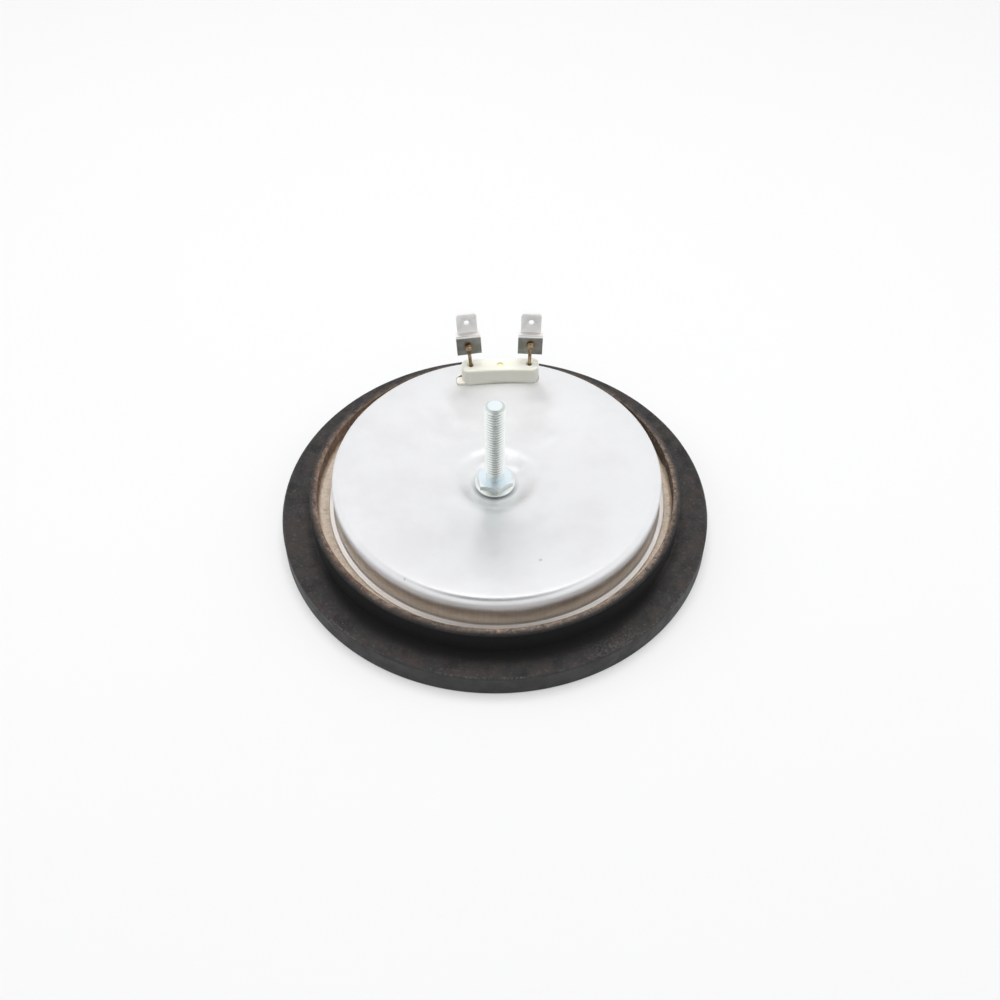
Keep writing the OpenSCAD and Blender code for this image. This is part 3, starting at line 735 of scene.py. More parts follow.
def iron_finish(s):
    """Blackened cast iron: sandy grain, mottled patches, dust on the land and rust inside it, with
    painted shade on the ring's outer wall and foot and painted light on the left of the ring's inner
    wall.
    """
    m = Finish("cast_iron", s.iron)
    r = m.radius()
    x, y, z = m.axes()
    m.paint(m.fade(m.noise(190, 4, 0.65), 0.40, 0.62), s.warm)
    m.paint(m.fade(m.noise(120, 5, 0.7), 0.50, 0.66, 0.0, 0.8), s.black)
    m.paint(m.fade(m.noise(1100, 3, 0.6), 0.52, 0.74, 0.0, 0.5), s.bare)
    specks = m.fade(m.cells(560), 0.0, 0.14, 1.0, 0.0)
    m.paint(m.times(specks, m.fade(m.noise(300, 2), 0.60, 0.70, 0.0, 0.75)), s.scale)
    patch = m.past(m.distance((33 * MM, -48 * MM, s.flange)), 0, 3, 13, 0.9, 0.0)
    m.paint(m.times(patch, m.fade(m.noise(1300, 4, 0.75), 0.50, 0.58)), s.bare)
    m.paint(m.past(r, s.radius, -0.35, -0.12, 0.0, 0.85), s.turned)
    # Painted shade on the ring's outer wall and on the flange round its foot, where the ring shades
    # it, spread widest at the front
    wavy = m.plus(r, m.times(m.noise(110, 3), 1.6 * MM))
    wavy = m.math("SUBTRACT", wavy, m.past(y, 0, -50, -12, 5.5 * MM, 0.0))
    outside = m.times(m.past(r, s.ring_radius, -0.5, -0.15), m.past(z, s.flange, -2, -1),
                      m.past(z, s.ring_top, -1.2, -0.2, 1.0, 0.25))
    foot_shade = m.times(m.past(wavy, s.ring_radius, -2.6, 3.6, 1.0, 0.0), outside)
    wall = m.times(m.past(z, s.flange, 0.3, 2), outside)
    m.paint(m.times(m.math("MAXIMUM", foot_shade, wall), 0.95), s.painted_shade)
    # The flange's upper edge is worn here and there
    worn = m.times(m.past(r, s.radius, -0.75, -0.4), m.past(z, s.flange, -0.55, -0.2))
    broken = m.times(m.fade(m.noise(55, 2), 0.42, 0.60), m.fade(m.noise(1300, 4, 0.7), 0.44, 0.60))
    m.paint(m.times(worn, broken), s.bare)
    # Dust on the land, thickest at its inner edge
    inner = s.ring_radius - s.ring_wall
    jagged = m.math("SUBTRACT", r, m.times(m.noise(260, 6, 0.7), 1.4 * MM))
    land = m.times(m.past(z, s.ring_top, -1, -0.3), m.past(r, inner, -1, -0.8),
                   m.past(jagged, inner, -0.6, 1.2, 1.0, 0.0),
                   m.fade(m.noise(34, 3), 0.38, 0.62, 0.55, 1.0), m.past(y, 0, 5, 35, 1.0, 0.45))
    redder = m.times(m.fade(m.noise(90, 3), 0.42, 0.60), m.past(x, 0, -20, 15, 1.0, 0.25))
    m.paint(m.times(land, m.fade(m.noise(560, 5, 0.75), 0.38, 0.60, 0.25, 1.0)),
            m.blend(redder, s.dust, s.clay_and_lit_wall))
    m.paint(m.times(land, m.fade(m.noise(1000, 3, 0.6), 0.60, 0.67, 0.0, 0.8)), s.scale)
    # Rust and pale scale on the wall inside the ring and on its edge; towards the left the rust is
    # painted lighter in the clay colour, painted light on that side of the wall
    inside = m.times(m.past(jagged, inner, -0.75, -0.45, 1.0, 0.0), m.past(z, s.web, 0, 1, 0.0, 0.9))
    # Painted light: the rust turns lighter towards the left
    rust = m.blend(m.past(x, 0, -36, -8, 0.75, 0.0), s.rust, s.clay_and_lit_wall)
    m.paint(inside, m.blend(m.fade(m.noise(700, 5, 0.75), 0.54, 0.66), rust, s.scale))
    relief = m.bump(m.noise(420, 5, 0.65), 0.16, 0.6)
    relief = m.bump(m.noise(1700, 4, 0.65), 0.06, 0.7, over=relief)
    # Fine turned rings on the cooking face
    rings = m.math("SINE", m.times(r, FULL_TURN / s.ring_pitch))
    relief = m.bump(m.times(rings, m.past(z, 0, 0.02, 0.7, 1.0, 0.0)), 0.02, 0.5, over=relief)
    rough = m.math("MAXIMUM", m.fade(m.noise(240, 4), 0.3, 0.7, 0.50, 0.68), m.times(foot_shade, 0.95))
    return m.done(rough=rough, normal=relief, specular=0.3)


def compound_finish(s):
    """Sandy fired compound with dark specks and fine cracks, browner by the ring, with painted shade
    where it meets the ring's wall.
    """
    m = Finish("embedding_compound", s.sand)
    m.paint(m.fade(m.noise(700, 4, 0.65), 0.40, 0.72, 0.0, 0.55), s.brown)
    specks = m.fade(m.cells(900), 0.0, 0.22, 1.0, 0.0)
    m.paint(m.times(specks, m.fade(m.noise(500, 2), 0.52, 0.60)), s.speck)
    veins = m.noise(420, 2)
    m.paint(m.times(m.fade(veins, 0.485, 0.50), m.fade(veins, 0.50, 0.515, 1.0, 0.0), 0.45), s.speck)
    # Painted shade: darker and browner where the compound meets the ring's wall
    m.paint(m.past(m.radius(), s.radius, -0.9, 0, 0.0, 0.75), s.edge)
    return m.done(rough=0.9, normal=m.bump(m.noise(2400, 3, 0.7), 0.12, 0.8), specular=0.2)


def cover_finish(s):
    """Satin aluminised sheet: cloudy face, rolled grain, fine lines drawn down the wall, with painted
    shade on the wall and round the collar and a painted highlight before the terminal block.
    """
    m = Finish("aluminised_sheet", s.metal)
    x, y, z = m.axes()
    out = m.radius(s.play)
    angle = m.math("ARCTAN2", y, m.math("SUBTRACT", x, s.play))
    streaks = m.noise(95, 3, 0.6, at=m.combined(X=angle, Y=z))
    clouds = m.noise(60, 4, 0.6)
    fine = m.noise(900, 3, 0.6)
    m.paint(m.fade(clouds, 0.40, 0.66, 0.0, 0.6), s.dull)
    # A nick in the rim and a scratch on the face
    for scar_x, scar_y, drop in ((-23.3, -42.2, 0.2), (14.2, -33.4, 1.0)):
        scar = m.distance((scar_x * MM, scar_y * MM, s.top - drop * MM))
        mark = m.plus(scar, m.times(m.noise(1200, 2), 0.6 * MM))
        m.paint(m.past(mark, 0, 0.5, 1.0, 0.55, 0.0), s.scar)
    # Painted shade that deepens down the wall, standing in for the dark brown that the wall mirrors
    # from the ring and compound, deepest at the front; and the warmer, brighter lip
    wall = m.times(m.past(z, s.top, -5.8, -2.0, 1.0, 0.0), m.past(out, s.radius, -1.3, -0.3),
                   m.past(y, 0, -30, -6, 1.0, 0.35))
    m.paint(m.times(wall, m.fade(streaks, 0.30, 0.70, 0.72, 1.0)), s.painted_shade)
    lip = m.times(m.past(z, s.foot, 0.8, 1.5, 1.0, 0.0), m.past(out, s.radius, -0.1, 0.1))
    m.paint(lip, s.warm)
    # Painted shadow under the collar, strongest in front of it
    seat = m.past(m.radius(), s.seat_radius, -0.6, 1.1, 0.9, 0.0)
    m.paint(m.times(seat, m.past(y, 0, -6, 2, 1.0, 0.2)), s.painted_shadow)
    # Painted highlight on the sheet before the terminal block, where its swelling catches the light;
    # the sheet is also less smooth there
    apron = m.past(m.distance((0, 32 * MM, s.top - 1 * MM)), 0, 6, 15, 1.0, 0.0)
    m.paint(m.times(apron, 0.7), s.bright)
    shoulder = m.times(m.past(z, s.top, -5.5, -2.5), m.past(out, s.radius, -0.6, -0.2))
    rough = m.plus(m.fade(clouds, 0.35, 0.65, 0.34, 0.42), m.fade(fine, 0.3, 0.7, -0.03, 0.03))
    for area, rougher in ((apron, 0.14), (shoulder, 0.25), (lip, 0.12)):
        rough = m.plus(rough, m.times(area, rougher))
    relief = m.bump(m.noise(140, 3), 0.25, 0.12)
    relief = m.bump(fine, 0.02, 0.25, over=relief)
    relief = m.bump(m.times(streaks, wall), 0.04, 0.3, over=relief)
    return m.done(metal=1.0, rough=rough, normal=relief)


def zinc_finish(s, neck_top):
    """Bright zinc plate with a blue cast, with painted shade that greys the thread's roots, the end's
    chamfer and the corner under the hexagon.
    """
    m = Finish("zinc_plate", s.zinc)
    m.paint(m.fade(m.noise(300, 3), 0.4, 0.65), s.shade)
    r = m.radius()
    z = m.axes()[2]
    shoulder = s.tip - s.chamfer
    top = neck_top - s.neck
    # Painted shade in the thread's roots
    m.paint(m.times(m.fade(r, s.root_radius + 0.05 * MM, s.radius - 0.1 * MM, 1.0, 0.0),
                    m.past(z, neck_top, 0, 0.5), m.past(z, shoulder, -0.4, 0, 1.0, 0.0)), s.groove)
    m.paint(m.times(m.past(z, top, -0.25, -0.1), m.past(z, top, 0.1, 0.6, 1.0, 0.0)), s.blue)
    # The flat end keeps the blue cast, and its chamfer gets painted shade
    flat = m.past(r, s.radius - s.chamfer, -0.15, 0, 1.0, 0.0)
    m.paint(m.past(z, shoulder, -0.1, 0.1, 0.0, 0.6), m.blend(flat, s.groove, s.blue))
    # Painted shade in the corner between the hexagon and its flange
    m.paint(m.times(m.past(z, top, -1.9, -1.2, 0.75, 0.0),
                    m.fade(r, s.flats / 2 - 0.2 * MM, s.flange_radius - 0.1 * MM, 1.0, 0.0)), s.groove)
    return m.done(metal=1.0, rough=m.fade(m.noise(1200, 2), 0.3, 0.7, 0.33, 0.41),
                  normal=m.bump(m.noise(900, 2), 0.02, 0.15))


def ceramic_finish(name, s, holes=()):
    """Fired ceramic with its holes painted: painted shade in the wire holes, a painted glow of bounced
    light in the blind hole. holes holds (place, reach, shading) rows.
    """
    m = Finish(name, s.ivory)
    m.paint(m.fade(m.noise(170, 4), 0.35, 0.7, 0.0, 0.6), s.grey)
    # Painted shade in the wire holes and a painted glow of bounced light in the blind hole
    for hole, reach, stain in holes:
        ragged = m.plus(m.distance(hole), m.times(m.noise(900, 3), 0.5 * MM))
        m.paint(m.fade(ragged, reach, 1.7 * reach, 0.85, 0.0), stain)
    relief = m.bump(m.noise(500, 4), 0.05, 0.3)
    relief = m.bump(m.fade(m.cells(1500), 0.0, 0.12), 0.03, 0.3, over=relief)
    return m.done(rough=m.fade(m.noise(700, 2), 0.3, 0.7, 0.36, 0.5), normal=relief,
                  specular=0.5, subsurface=0.12, subsurface_scale=0.8 * MM)


def tab_finish(name, s, weld, ledge):
    """Dull nickel plate, smoked below its ledge and heat-tinted round its weld."""
    m = Finish(name, s.nickel)
    m.paint(m.fade(m.noise(350, 4), 0.35, 0.7, 0.0, 0.5), s.worn)
    smoke = m.blend(m.fade(m.noise(260, 3), 0.38, 0.62), s.smoke, s.ash)
    m.paint(m.past(m.axes()[2], ledge, -1.1, -0.5, 0.95, 0.0), smoke)
    away = m.plus(m.distance(weld), m.times(m.noise(800, 3), 0.8 * MM))
    m.paint(m.past(away, 0, 1.4, 2.6, 0.85, 0.0), s.straw)
    relief = m.bump(m.noise(1600, 3), 0.02, 0.25)
    relief = m.bump(m.noise(260, 4, 0.7, stretch=(1, 1, 9)), 0.02, 0.3, over=relief)
    return m.done(metal=1.0, rough=m.fade(m.noise(500, 3), 0.3, 0.7, 0.34, 0.46), normal=relief)


def lead_finish(s, spots):
    """Heat-tinted wire, burnt near its welds, with bright nuggets."""
    m = Finish("heat_tinted_wire", s.straw)
    m.paint(m.fade(m.noise(700, 4, 0.65), 0.38, 0.64), s.brown)
    for spot in spots:
        near = m.past(m.distance(spot), 0, 0.5, 1.0, 1.0, 0.0)
        m.paint(m.times(near, m.fade(m.noise(1300, 2), 0.42, 0.56)), s.bright)
    return m.done(metal=1.0, rough=m.fade(m.noise(1100, 3), 0.3, 0.7, 0.30, 0.5),
                  normal=m.bump(m.noise(1800, 3), 0.04, 0.5))


def resistance_finish(s):
    """Oxidised resistance wire."""
    m = Finish("oxidised_wire", s.oxide)
    m.paint(m.fade(m.noise(900, 4), 0.35, 0.65), s.pale_oxide)
    return m.done(metal=1.0, rough=m.fade(m.noise(600, 3), 0.3, 0.7, 0.4, 0.6),
                  normal=m.bump(m.noise(2000, 2), 0.02, 0.4))


# ---------------------------------------------------------------- the pieces


def block_matrix(s):
    """From the terminal block's own frame to the plate's."""
    return Matrix.Translation((0, s.distance, 0)) @ Matrix.Rotation(s.turn, 4, "Z")


def lead_matrix(block, side, turned, lean):
    """From the frame of a wire above the block to the plate's."""
    foot = block_matrix(block) @ Vector((side * block.hole_offset, 0, block.top))
    return Matrix.Translation(foot) @ Matrix.Rotation(turned, 4, "Z") @ Matrix.Rotation(lean, 4, "Y")


def welds(scene):
    """Where the two nuggets sit, the left one first."""
    block, lead, tab = scene.hotplate_block, scene.hotplate_leads, scene.hotplate_tabs
    at = Vector((0, 0, lead.up - lead.nugget))
    return [
        lead_matrix(block, -1, tab.left_turn, lead.left_lean) @ at,
        lead_matrix(block, 1, tab.right_turn, lead.right_lean) @ at,
    ]


class HOTPLATE_OT_casting(bpy.types.Operator):
    """Turn the cast-iron plate with its ring, hub and boss"""

    bl_idname = "hotplate.casting"
    bl_label = "Cast-Iron Plate"

    def execute(self, context):
        s = context.scene.hotplate_casting
        inner = s.ring_radius - s.ring_wall
        hub_inner = s.hub_radius - s.rib
        hub_top = context.scene.hotplate_compound.top
        outline = [
            (0, s.recess), (s.recess_radius, s.recess), (s.recess_radius, 0), (s.radius, 0),
            (s.radius, s.flange), (s.ring_radius, s.flange), (s.ring_radius, s.ring_top),
            (inner, s.ring_top), (inner, s.web), (s.hub_radius, s.web), (s.hub_radius, hub_top),
            (hub_inner, hub_top), (hub_inner, s.web), (s.boss_radius, s.web),
            (s.boss_radius, s.ring_top - s.boss_drop), (s.bore_radius, s.ring_top - s.boss_drop),
            (s.bore_radius, s.bore_floor), (0, s.bore_floor),
        ]
        # Cross rings over the visible faces, for the lumps to follow
        rows = []
        for here, after in zip(outline, outline[1:] + outline[:1]):
            rows.append(here)
            seen = min(here[0], after[0]) >= inner - SAME_POINT and max(here[1], after[1]) > s.web
            length = math.dist(here, after)
            count = int(length / s.row) if seen else 0
            rows += [
                tuple(a + (b - a) * k / (count + 1) for a, b in zip(here, after))
                for k in range(1, count + 1)
            ]
        low_edge, high_edge, ring_edge = (rows.index(outline[k]) for k in (3, 4, 6))
        bm = lathe(rows, s.steps, rounds=[([low_edge, high_edge], s.edge), ([ring_edge], s.ring_edge)])
        foot = [
            e for e in bm.edges
            if all(abs(radius_of(v.co) - s.ring_radius) < NEAR and abs(v.co.z - s.flange) < NEAR
                   for v in e.verts)
        ]
        bevel(bm, foot, s.fillet, 6, clamp=True)
        for v in bm.verts:
            r = radius_of(v.co)
            if r < inner - SAME_POINT or v.co.z < s.turned_level:
                continue
            swell = swelling(v.co * 160, 0.6, 3) * s.lump
            if abs(r - inner) < 0.5 * MM:
                swell += swelling(v.co * 420, 0.7, 4) * s.chip
            flat = Vector((v.co.x, v.co.y, 0)).normalized()
            if r < s.radius - s.edge:
                v.co.z -= abs(swell) * 0.6
            if r > s.radius - 0.3 * MM or r < s.ring_radius + 0.1 * MM:
                v.co -= flat * abs(swell) * 0.5
        show("cast_plate", bm, iron_finish(s), "iron", "cast_iron_plate")
        return {"FINISHED"}


class HOTPLATE_OT_compound(bpy.types.Operator):
    """Turn the bed of compound that the coil lies in"""

    bl_idname = "hotplate.compound"
    bl_label = "Embedding Compound"

    def execute(self, context):
        s = context.scene.hotplate_compound
        shore = context.scene.hotplate_cover.lip_radius - s.under_lip
        count = 16
        strip = [s.radius - (s.radius - shore) * k / count for k in range(count + 1)]
        outline = [(s.hub_radius, s.floor), (s.radius, s.floor)]
        outline += [(r, s.top) for r in strip] + [(s.hub_radius, s.top)]
        bm = lathe(outline, s.steps)
        for v in bm.verts:
            r = radius_of(v.co)
            if v.co.z < s.top - SAME_POINT or r < shore + 0.2 * MM:
                continue
            rough = swelling(v.co * 900, 0.8, 4) * s.grain
            sweep = swelling(v.co * 130, 0.8, 3)
            near_ring = ease((r - s.radius + s.shoulder) / s.shoulder) ** 2
            cling = s.climb * (0.55 + 0.9 * sweep) * near_ring
            v.co.z += min(s.climb, max(-s.pit, rough * ease((r - shore) / (1 * MM)) + cling))
        show("sand_bed", bm, compound_finish(s), "compound", "insulating_compound")
        return {"FINISHED"}


class HOTPLATE_OT_cover(bpy.types.Operator):
    """Draw the cover, with its lip, dish, dimple and openings"""

    bl_idname = "hotplate.cover"
    bl_label = "Cover Plate"

    def level(self, s, r):
        """Level of the outer face at a radius."""
        brim = s.seat + s.dimple_rise
        if r >= s.dimple_radius:
            return brim + (s.top - brim) * ease(
                (r - s.dimple_radius) / (s.dish_radius - s.dimple_radius)
            )
        return s.seat + s.dimple_rise * ease((r - s.seat_radius) / (s.dimple_radius - s.seat_radius))

    def dented(self, point):
        """Height of the dents at a point."""
        x, y = point.x / MM, point.y / MM
        swell = sum(
            hump(math.hypot((x - dent_x) / stretch, y - dent_y), reach) * height
            for dent_x, dent_y, stretch, reach, height in DENTS
        )
        return (swell + swelling(Vector((x, y, 0)) * 0.07, 0.6, 3) * 0.10) * MM

    def key_slot(self, s, block):
        """Plan of the slot for the block's key, drawn out behind the key to a slit."""
        bend = block.key_corner
        front = block.key_back - block.depth / 2 - s.key_gap
        inner = -block.width / 2 + block.key_width
        outer = -block.width / 2 - block.key_width - s.key_gap
        angles = [k * math.pi / 12 for k in range(6, -1, -1)]
        curve = [(outer + bend * (1 - math.cos(a)), front + bend * (1 - math.sin(a))) for a in angles]
        corners = ((inner, front), *curve, (outer, s.opening_gap), (inner, block.depth / 2))
        return plate([(x, y, 0) for x, y in corners])

    def execute(self, context):
        s = context.scene.hotplate_cover
        block = context.scene.hotplate_block
        inner = s.radius - s.sheet
        count = 34
        dish = [s.dish_radius * (1 - k / count) for k in range(count)] + [0]
        face = [(r, self.level(s, r)) for r in dish]
        under = [(r, z - s.sheet) for r, z in reversed(face)]
        outline = [
            (s.lip_radius, s.foot), (s.lip_radius, s.foot + s.sheet),
            (s.radius, s.foot + s.sheet), (s.radius, s.top), *face, *under,
            (inner, s.top - s.sheet), (inner, s.foot),
        ]
        last = len(outline) - 1
        bm = lathe(outline, s.steps, rounds=[
            ([2], s.lip_corner), ([3], s.corner), ([last - 1], s.corner - s.sheet),
            ([0, 1], s.lip_edge),
        ])
        for v in bm.verts:
            r = radius_of(v.co)
            if v.co.z > s.seat - s.sheet - SAME_POINT and r < s.dish_radius:
                at_rim = ease((s.dish_radius - r) / s.still_rim)
                v.co.z += self.dented(v.co) * at_rim * ease((r - s.still_radius) / (1 * MM))
            v.co.x += s.play
        low, high = s.seat - 2 * MM, s.top + 2 * MM
        bm = carve(bm, drum(s.hole_radius, low, high, 96))
        opening = raised(
            rounded_plan(block.width + 2 * s.opening_gap, block.depth + 2 * s.opening_gap,
                         block.corner + s.opening_gap), low, high)
        bm = carve(bm, moved(opening, block_matrix(block)))
        bm = carve(bm, moved(raised(self.key_slot(s, block), low, high), block_matrix(block)))
        show("drawn_cover", bm, cover_finish(s), "cover", "cover_plate")
        return {"FINISHED"}


class HOTPLATE_OT_stud(bpy.types.Operator):
    """Roll the stud's thread and forge its collar"""

    bl_idname = "hotplate.stud"
    bl_label = "Fixing Stud"

    def thread(self, s, low, high):
        """A threaded rod with a chamfered tip, its thread running out at its foot."""
        crest = 0.07 * s.pitch
        worn_off, worn_back = 0.06 * MM, 0.05 * MM  # the crest's edges are worn this much
        flank = (s.radius - s.root_radius) * math.tan(math.radians(30))
        middle = s.pitch / 2
        wave = [
            (s.root_radius, 0), (s.root_radius, middle - crest - flank),
            (s.radius - worn_off, middle - crest - worn_back), (s.radius, middle - 0.5 * crest),
            (s.radius, middle + 0.5 * crest), (s.radius - worn_off, middle + crest + worn_back),
            (s.root_radius, middle + crest + flank), (s.root_radius, s.pitch),
        ]
        bm = bmesh.new()
        start = low - 2 * s.pitch
        verts = [bm.verts.new((r, 0, start + z)) for r, z in wave]
        edges = [bm.edges.new(pair) for pair in zip(verts, verts[1:])]
        turns = math.ceil((high - start) / s.pitch) + 1
        bmesh.ops.spin(
            bm, geom=verts + edges, cent=(0, 0, 0), axis=UP, dvec=(0, 0, s.pitch / s.steps),
            angle=FULL_TURN * turns, steps=s.steps * turns, use_merge=False, use_duplicate=False,
        )
        bmesh.ops.remove_doubles(bm, verts=bm.verts[:], dist=0.002 * MM)
        for level, outer, inner in ((low, False, True), (high, True, False)):
            cut = bmesh.ops.bisect_plane(
                bm, geom=bm.verts[:] + bm.edges[:] + bm.faces[:], dist=SAME_POINT,
                plane_co=(0, 0, level), plane_no=UP, clear_outer=outer, clear_inner=inner,
            )
            bmesh.ops.contextual_create(bm, geom=only(bmesh.types.BMEdge, cut["geom_cut"]))
        for v in bm.verts:
            r = radius_of(v.co)
            if r < SAME_POINT:
                continue
            top = s.radius - max(0.0, v.co.z - (high - s.chamfer))
            run_out = s.neck_radius - (s.neck_radius - s.root_radius) * ease((v.co.z - low) / s.pitch)
            ceiling = s.neck_radius + (s.radius - s.neck_radius) * ease((v.co.z - low) / s.pitch)
            wanted = max(run_out, min(r, top, ceiling)) if v.co.z < low + s.pitch else min(r, top)
            v.co.x *= wanted / r
            v.co.y *= wanted / r
        return closed(bm)

    def collar(self, s, seat):
        """The hexagon with its chamfered top, on a round flange."""
        top = seat + s.collar
        hex_radius = s.flats / 2 / math.cos(math.radians(30))
        apart = 0.1 * MM  # keeps the faces of the three shapes from lying in each other
        prism = moved(drum(hex_radius, seat + apart, top, 6),
                      Matrix.Rotation(s.hex_turn - math.pi / 2, 4, "Z"))
        crown = lathe([
            (0, seat), (hex_radius + apart, seat), (hex_radius + apart, top - s.chamfer),
            (s.flats / 2, top), (0, top),
        ], 96)
        prism = carve(prism, crown, "INTERSECT")
        flange = lathe([
            (0, seat), (s.flange_radius, seat), (s.flange_radius, seat + s.flange),
            (s.flats / 2 - apart, seat + 2 * s.flange), (0, seat + 2 * s.flange),
        ], 128, rounds=[([1], s.flange_edge / 2), ([2], s.flange_edge)])
        return carve(flange, prism, "UNION")

    def execute(self, context):
        s = context.scene.hotplate_stud
        seat = context.scene.hotplate_cover.seat
        neck_top = seat + s.collar + s.neck
        neck = drum(s.neck_radius, seat + s.collar - SUNK, neck_top, s.steps)
        root = drum(s.radius, seat - s.root + s.chamfer, seat + SUNK, s.steps)
        point = drum(s.radius - s.chamfer, seat - s.root, seat - s.root + s.chamfer, s.steps,
                     s.radius)
        bm = joined(self.collar(s, seat), neck, root, point, self.thread(s, neck_top, s.tip))
        show("zinc_stud", bm, zinc_finish(s, neck_top), "stud", "collar_stud")
        return {"FINISHED"}


class HOTPLATE_OT_block(bpy.types.Operator):
    """Press the ceramic terminal block"""

    bl_idname = "hotplate.block"
    bl_label = "Terminal Block"

    def execute(self, context):
        s = context.scene.hotplate_block
        half, flat = s.width / 2, s.width / 2 - s.corner
        plan = rounded_plan(s.width, s.depth, s.corner, cuts=23)
        for v in plan.verts:
            if abs(v.co.x) < flat and abs(abs(v.co.y) - s.depth / 2) < SAME_POINT:
                v.co.y -= math.copysign(s.waist * (1 - (v.co.x / flat) ** 2), v.co.y)
        neck = soften_level(raised(plan, s.foot, s.top), s.top, s.edge)
        foot = raised(
            rounded_plan(s.width + 2 * s.foot_step, s.depth + 2 * s.foot_step, s.corner),
            s.foot, s.foot_top)
        key = raised(rounded_plan(2 * s.key_width, s.depth / 2, s.key_corner),
                     s.foot_top - SUNK, s.foot_top + s.key_height)
        key = soften_level(key, s.foot_top + s.key_height, s.key_edge)
        key = moved(key, Matrix.Translation((-half, s.key_back - s.depth / 4, 0)))
        bm = carve(carve(neck, foot, "UNION"), key, "UNION")
        through = s.width + 2 * (s.foot_step + 2 * BEYOND)
        bm = carve(bm, raised(rounded_plan(through, s.tunnel_width, s.tunnel_corner),
                              s.foot - BEYOND, s.foot + s.tunnel_height))
        for side in (-1, 1):
            across = Matrix.Translation((side * s.hole_offset, 0, 0))
            bm = carve(bm, moved(drum(s.hole_radius, s.foot, s.top + BEYOND, 32), across))
            mouth_top = s.top + 0.02 * MM
            mouth = drum(s.hole_radius, s.top - s.mouth_depth, mouth_top, 32, s.mouth_radius)
            bm = carve(bm, moved(mouth, across))
        bm = carve(bm, drum(s.blind_radius, s.top - s.blind_depth, s.top + BEYOND, 48))
        place = block_matrix(s)
        # Place along the block, depth and reach in millimetres, and colour of each hole: painted shade
        # in the wire holes, a painted glow of bounced light in the blind hole
        shadings = ((-s.hole_offset, 0.6, 0.75, s.stain), (s.hole_offset, 0.6, 0.75, s.stain),
                  (0, 1.2, 1.3, s.straw))
        holes = [(place @ Vector((along, 0, s.top - depth * MM)), reach * MM, colour)
                 for along, depth, reach, colour in shadings]
        finish = ceramic_finish("fired_ceramic", s, holes)
        show("ceramic_block", moved(bm, place), finish, "ceramic", "terminal_block")
        return {"FINISHED"}


class HOTPLATE_OT_tabs(bpy.types.Operator):
    """Fold the two push-on tabs"""

    bl_idname = "hotplate.tabs"
    bl_label = "Push-On Tabs"

    def tab(self, s):
        """One tab, its welded face on y = 0 and its foot on z = 0."""
        t = s.sheet
        back = s.jog + t
        side = [
            (0, 0), (t, 0), (t, s.foot_height - t), (back, s.foot_height - t),
            (back, s.foot_height + s.blade_length), (s.jog, s.foot_height + s.blade_length),
            (s.jog, s.foot_height), (0, s.foot_height),
        ]
        bm = drawn_out(plate([(-s.foot_width / 2, y, z) for y, z in side]), (s.foot_width, 0, 0))
        for (y, z), radius in ((side[7], t), (side[3], t), (side[2], t / 4), (side[6], t / 4)):
            bend = [e for e in bm.edges if all(
                abs(v.co.y - y) < SAME_POINT and abs(v.co.z - z) < SAME_POINT for v in e.verts)]
            bevel(bm, bend, radius, 5)
        # The blade is narrower than the welded part, and its end is clipped
        half = s.blade_width / 2
        middle = s.jog + t / 2
        end = s.foot_height + s.blade_length
        tall = s.blade_length + BEYOND
        slope = math.atan2(s.chamfer / 2, s.chamfer)
        clip = 4 * MM  # side of the cube that clips a corner of the end
        for mirror in (-1, 1):
            beside = (mirror * (half + BEYOND), middle, s.foot_height + tall / 2)
            bm = carve(bm, shift(cuboid(2 * BEYOND, 2 * t, tall), beside))
            place = (Matrix.Translation((mirror * half, middle, end - s.chamfer))
                     @ Matrix.Rotation(-mirror * slope, 4, "Y")
                     @ Matrix.Translation((mirror * clip / 2, 0, 0)))
            bm = carve(bm, moved(cuboid(clip, clip, clip), place))
        hole = moved(drum(s.hole_radius, -2 * t, 2 * t, 40), Matrix.Rotation(math.pi / 2, 4, "X"))
        bm = carve(bm, shift(hole, (0, middle, end - s.hole_in)))
        edges = [e for e in bm.edges if e.calc_face_angle(0) > math.radians(40)]
        return bevel(bm, edges, s.edge, 2, clamp=True)

    def execute(self, context):
        s = context.scene.hotplate_tabs
        block = context.scene.hotplate_block
        spots = welds(context.scene)
        for name, side, turned, lean, rise, weld in (
            ("left", -1, s.left_turn, s.left_lean, s.left_rise, spots[0]),
            ("right", 1, s.right_turn, s.right_lean, s.right_rise, spots[1]),
        ):
            place = lead_matrix(block, side, turned, lean) @ Matrix.Translation(
                (0, s.weld_face, rise))
            ledge = block.top + rise + s.foot_height
            finish = tab_finish(f"{name}_nickel_plate", s, weld, ledge)
            show(f"{name}_tab", moved(self.tab(s), place), finish, "tab", f"{name}_terminal_tab")
        return {"FINISHED"}


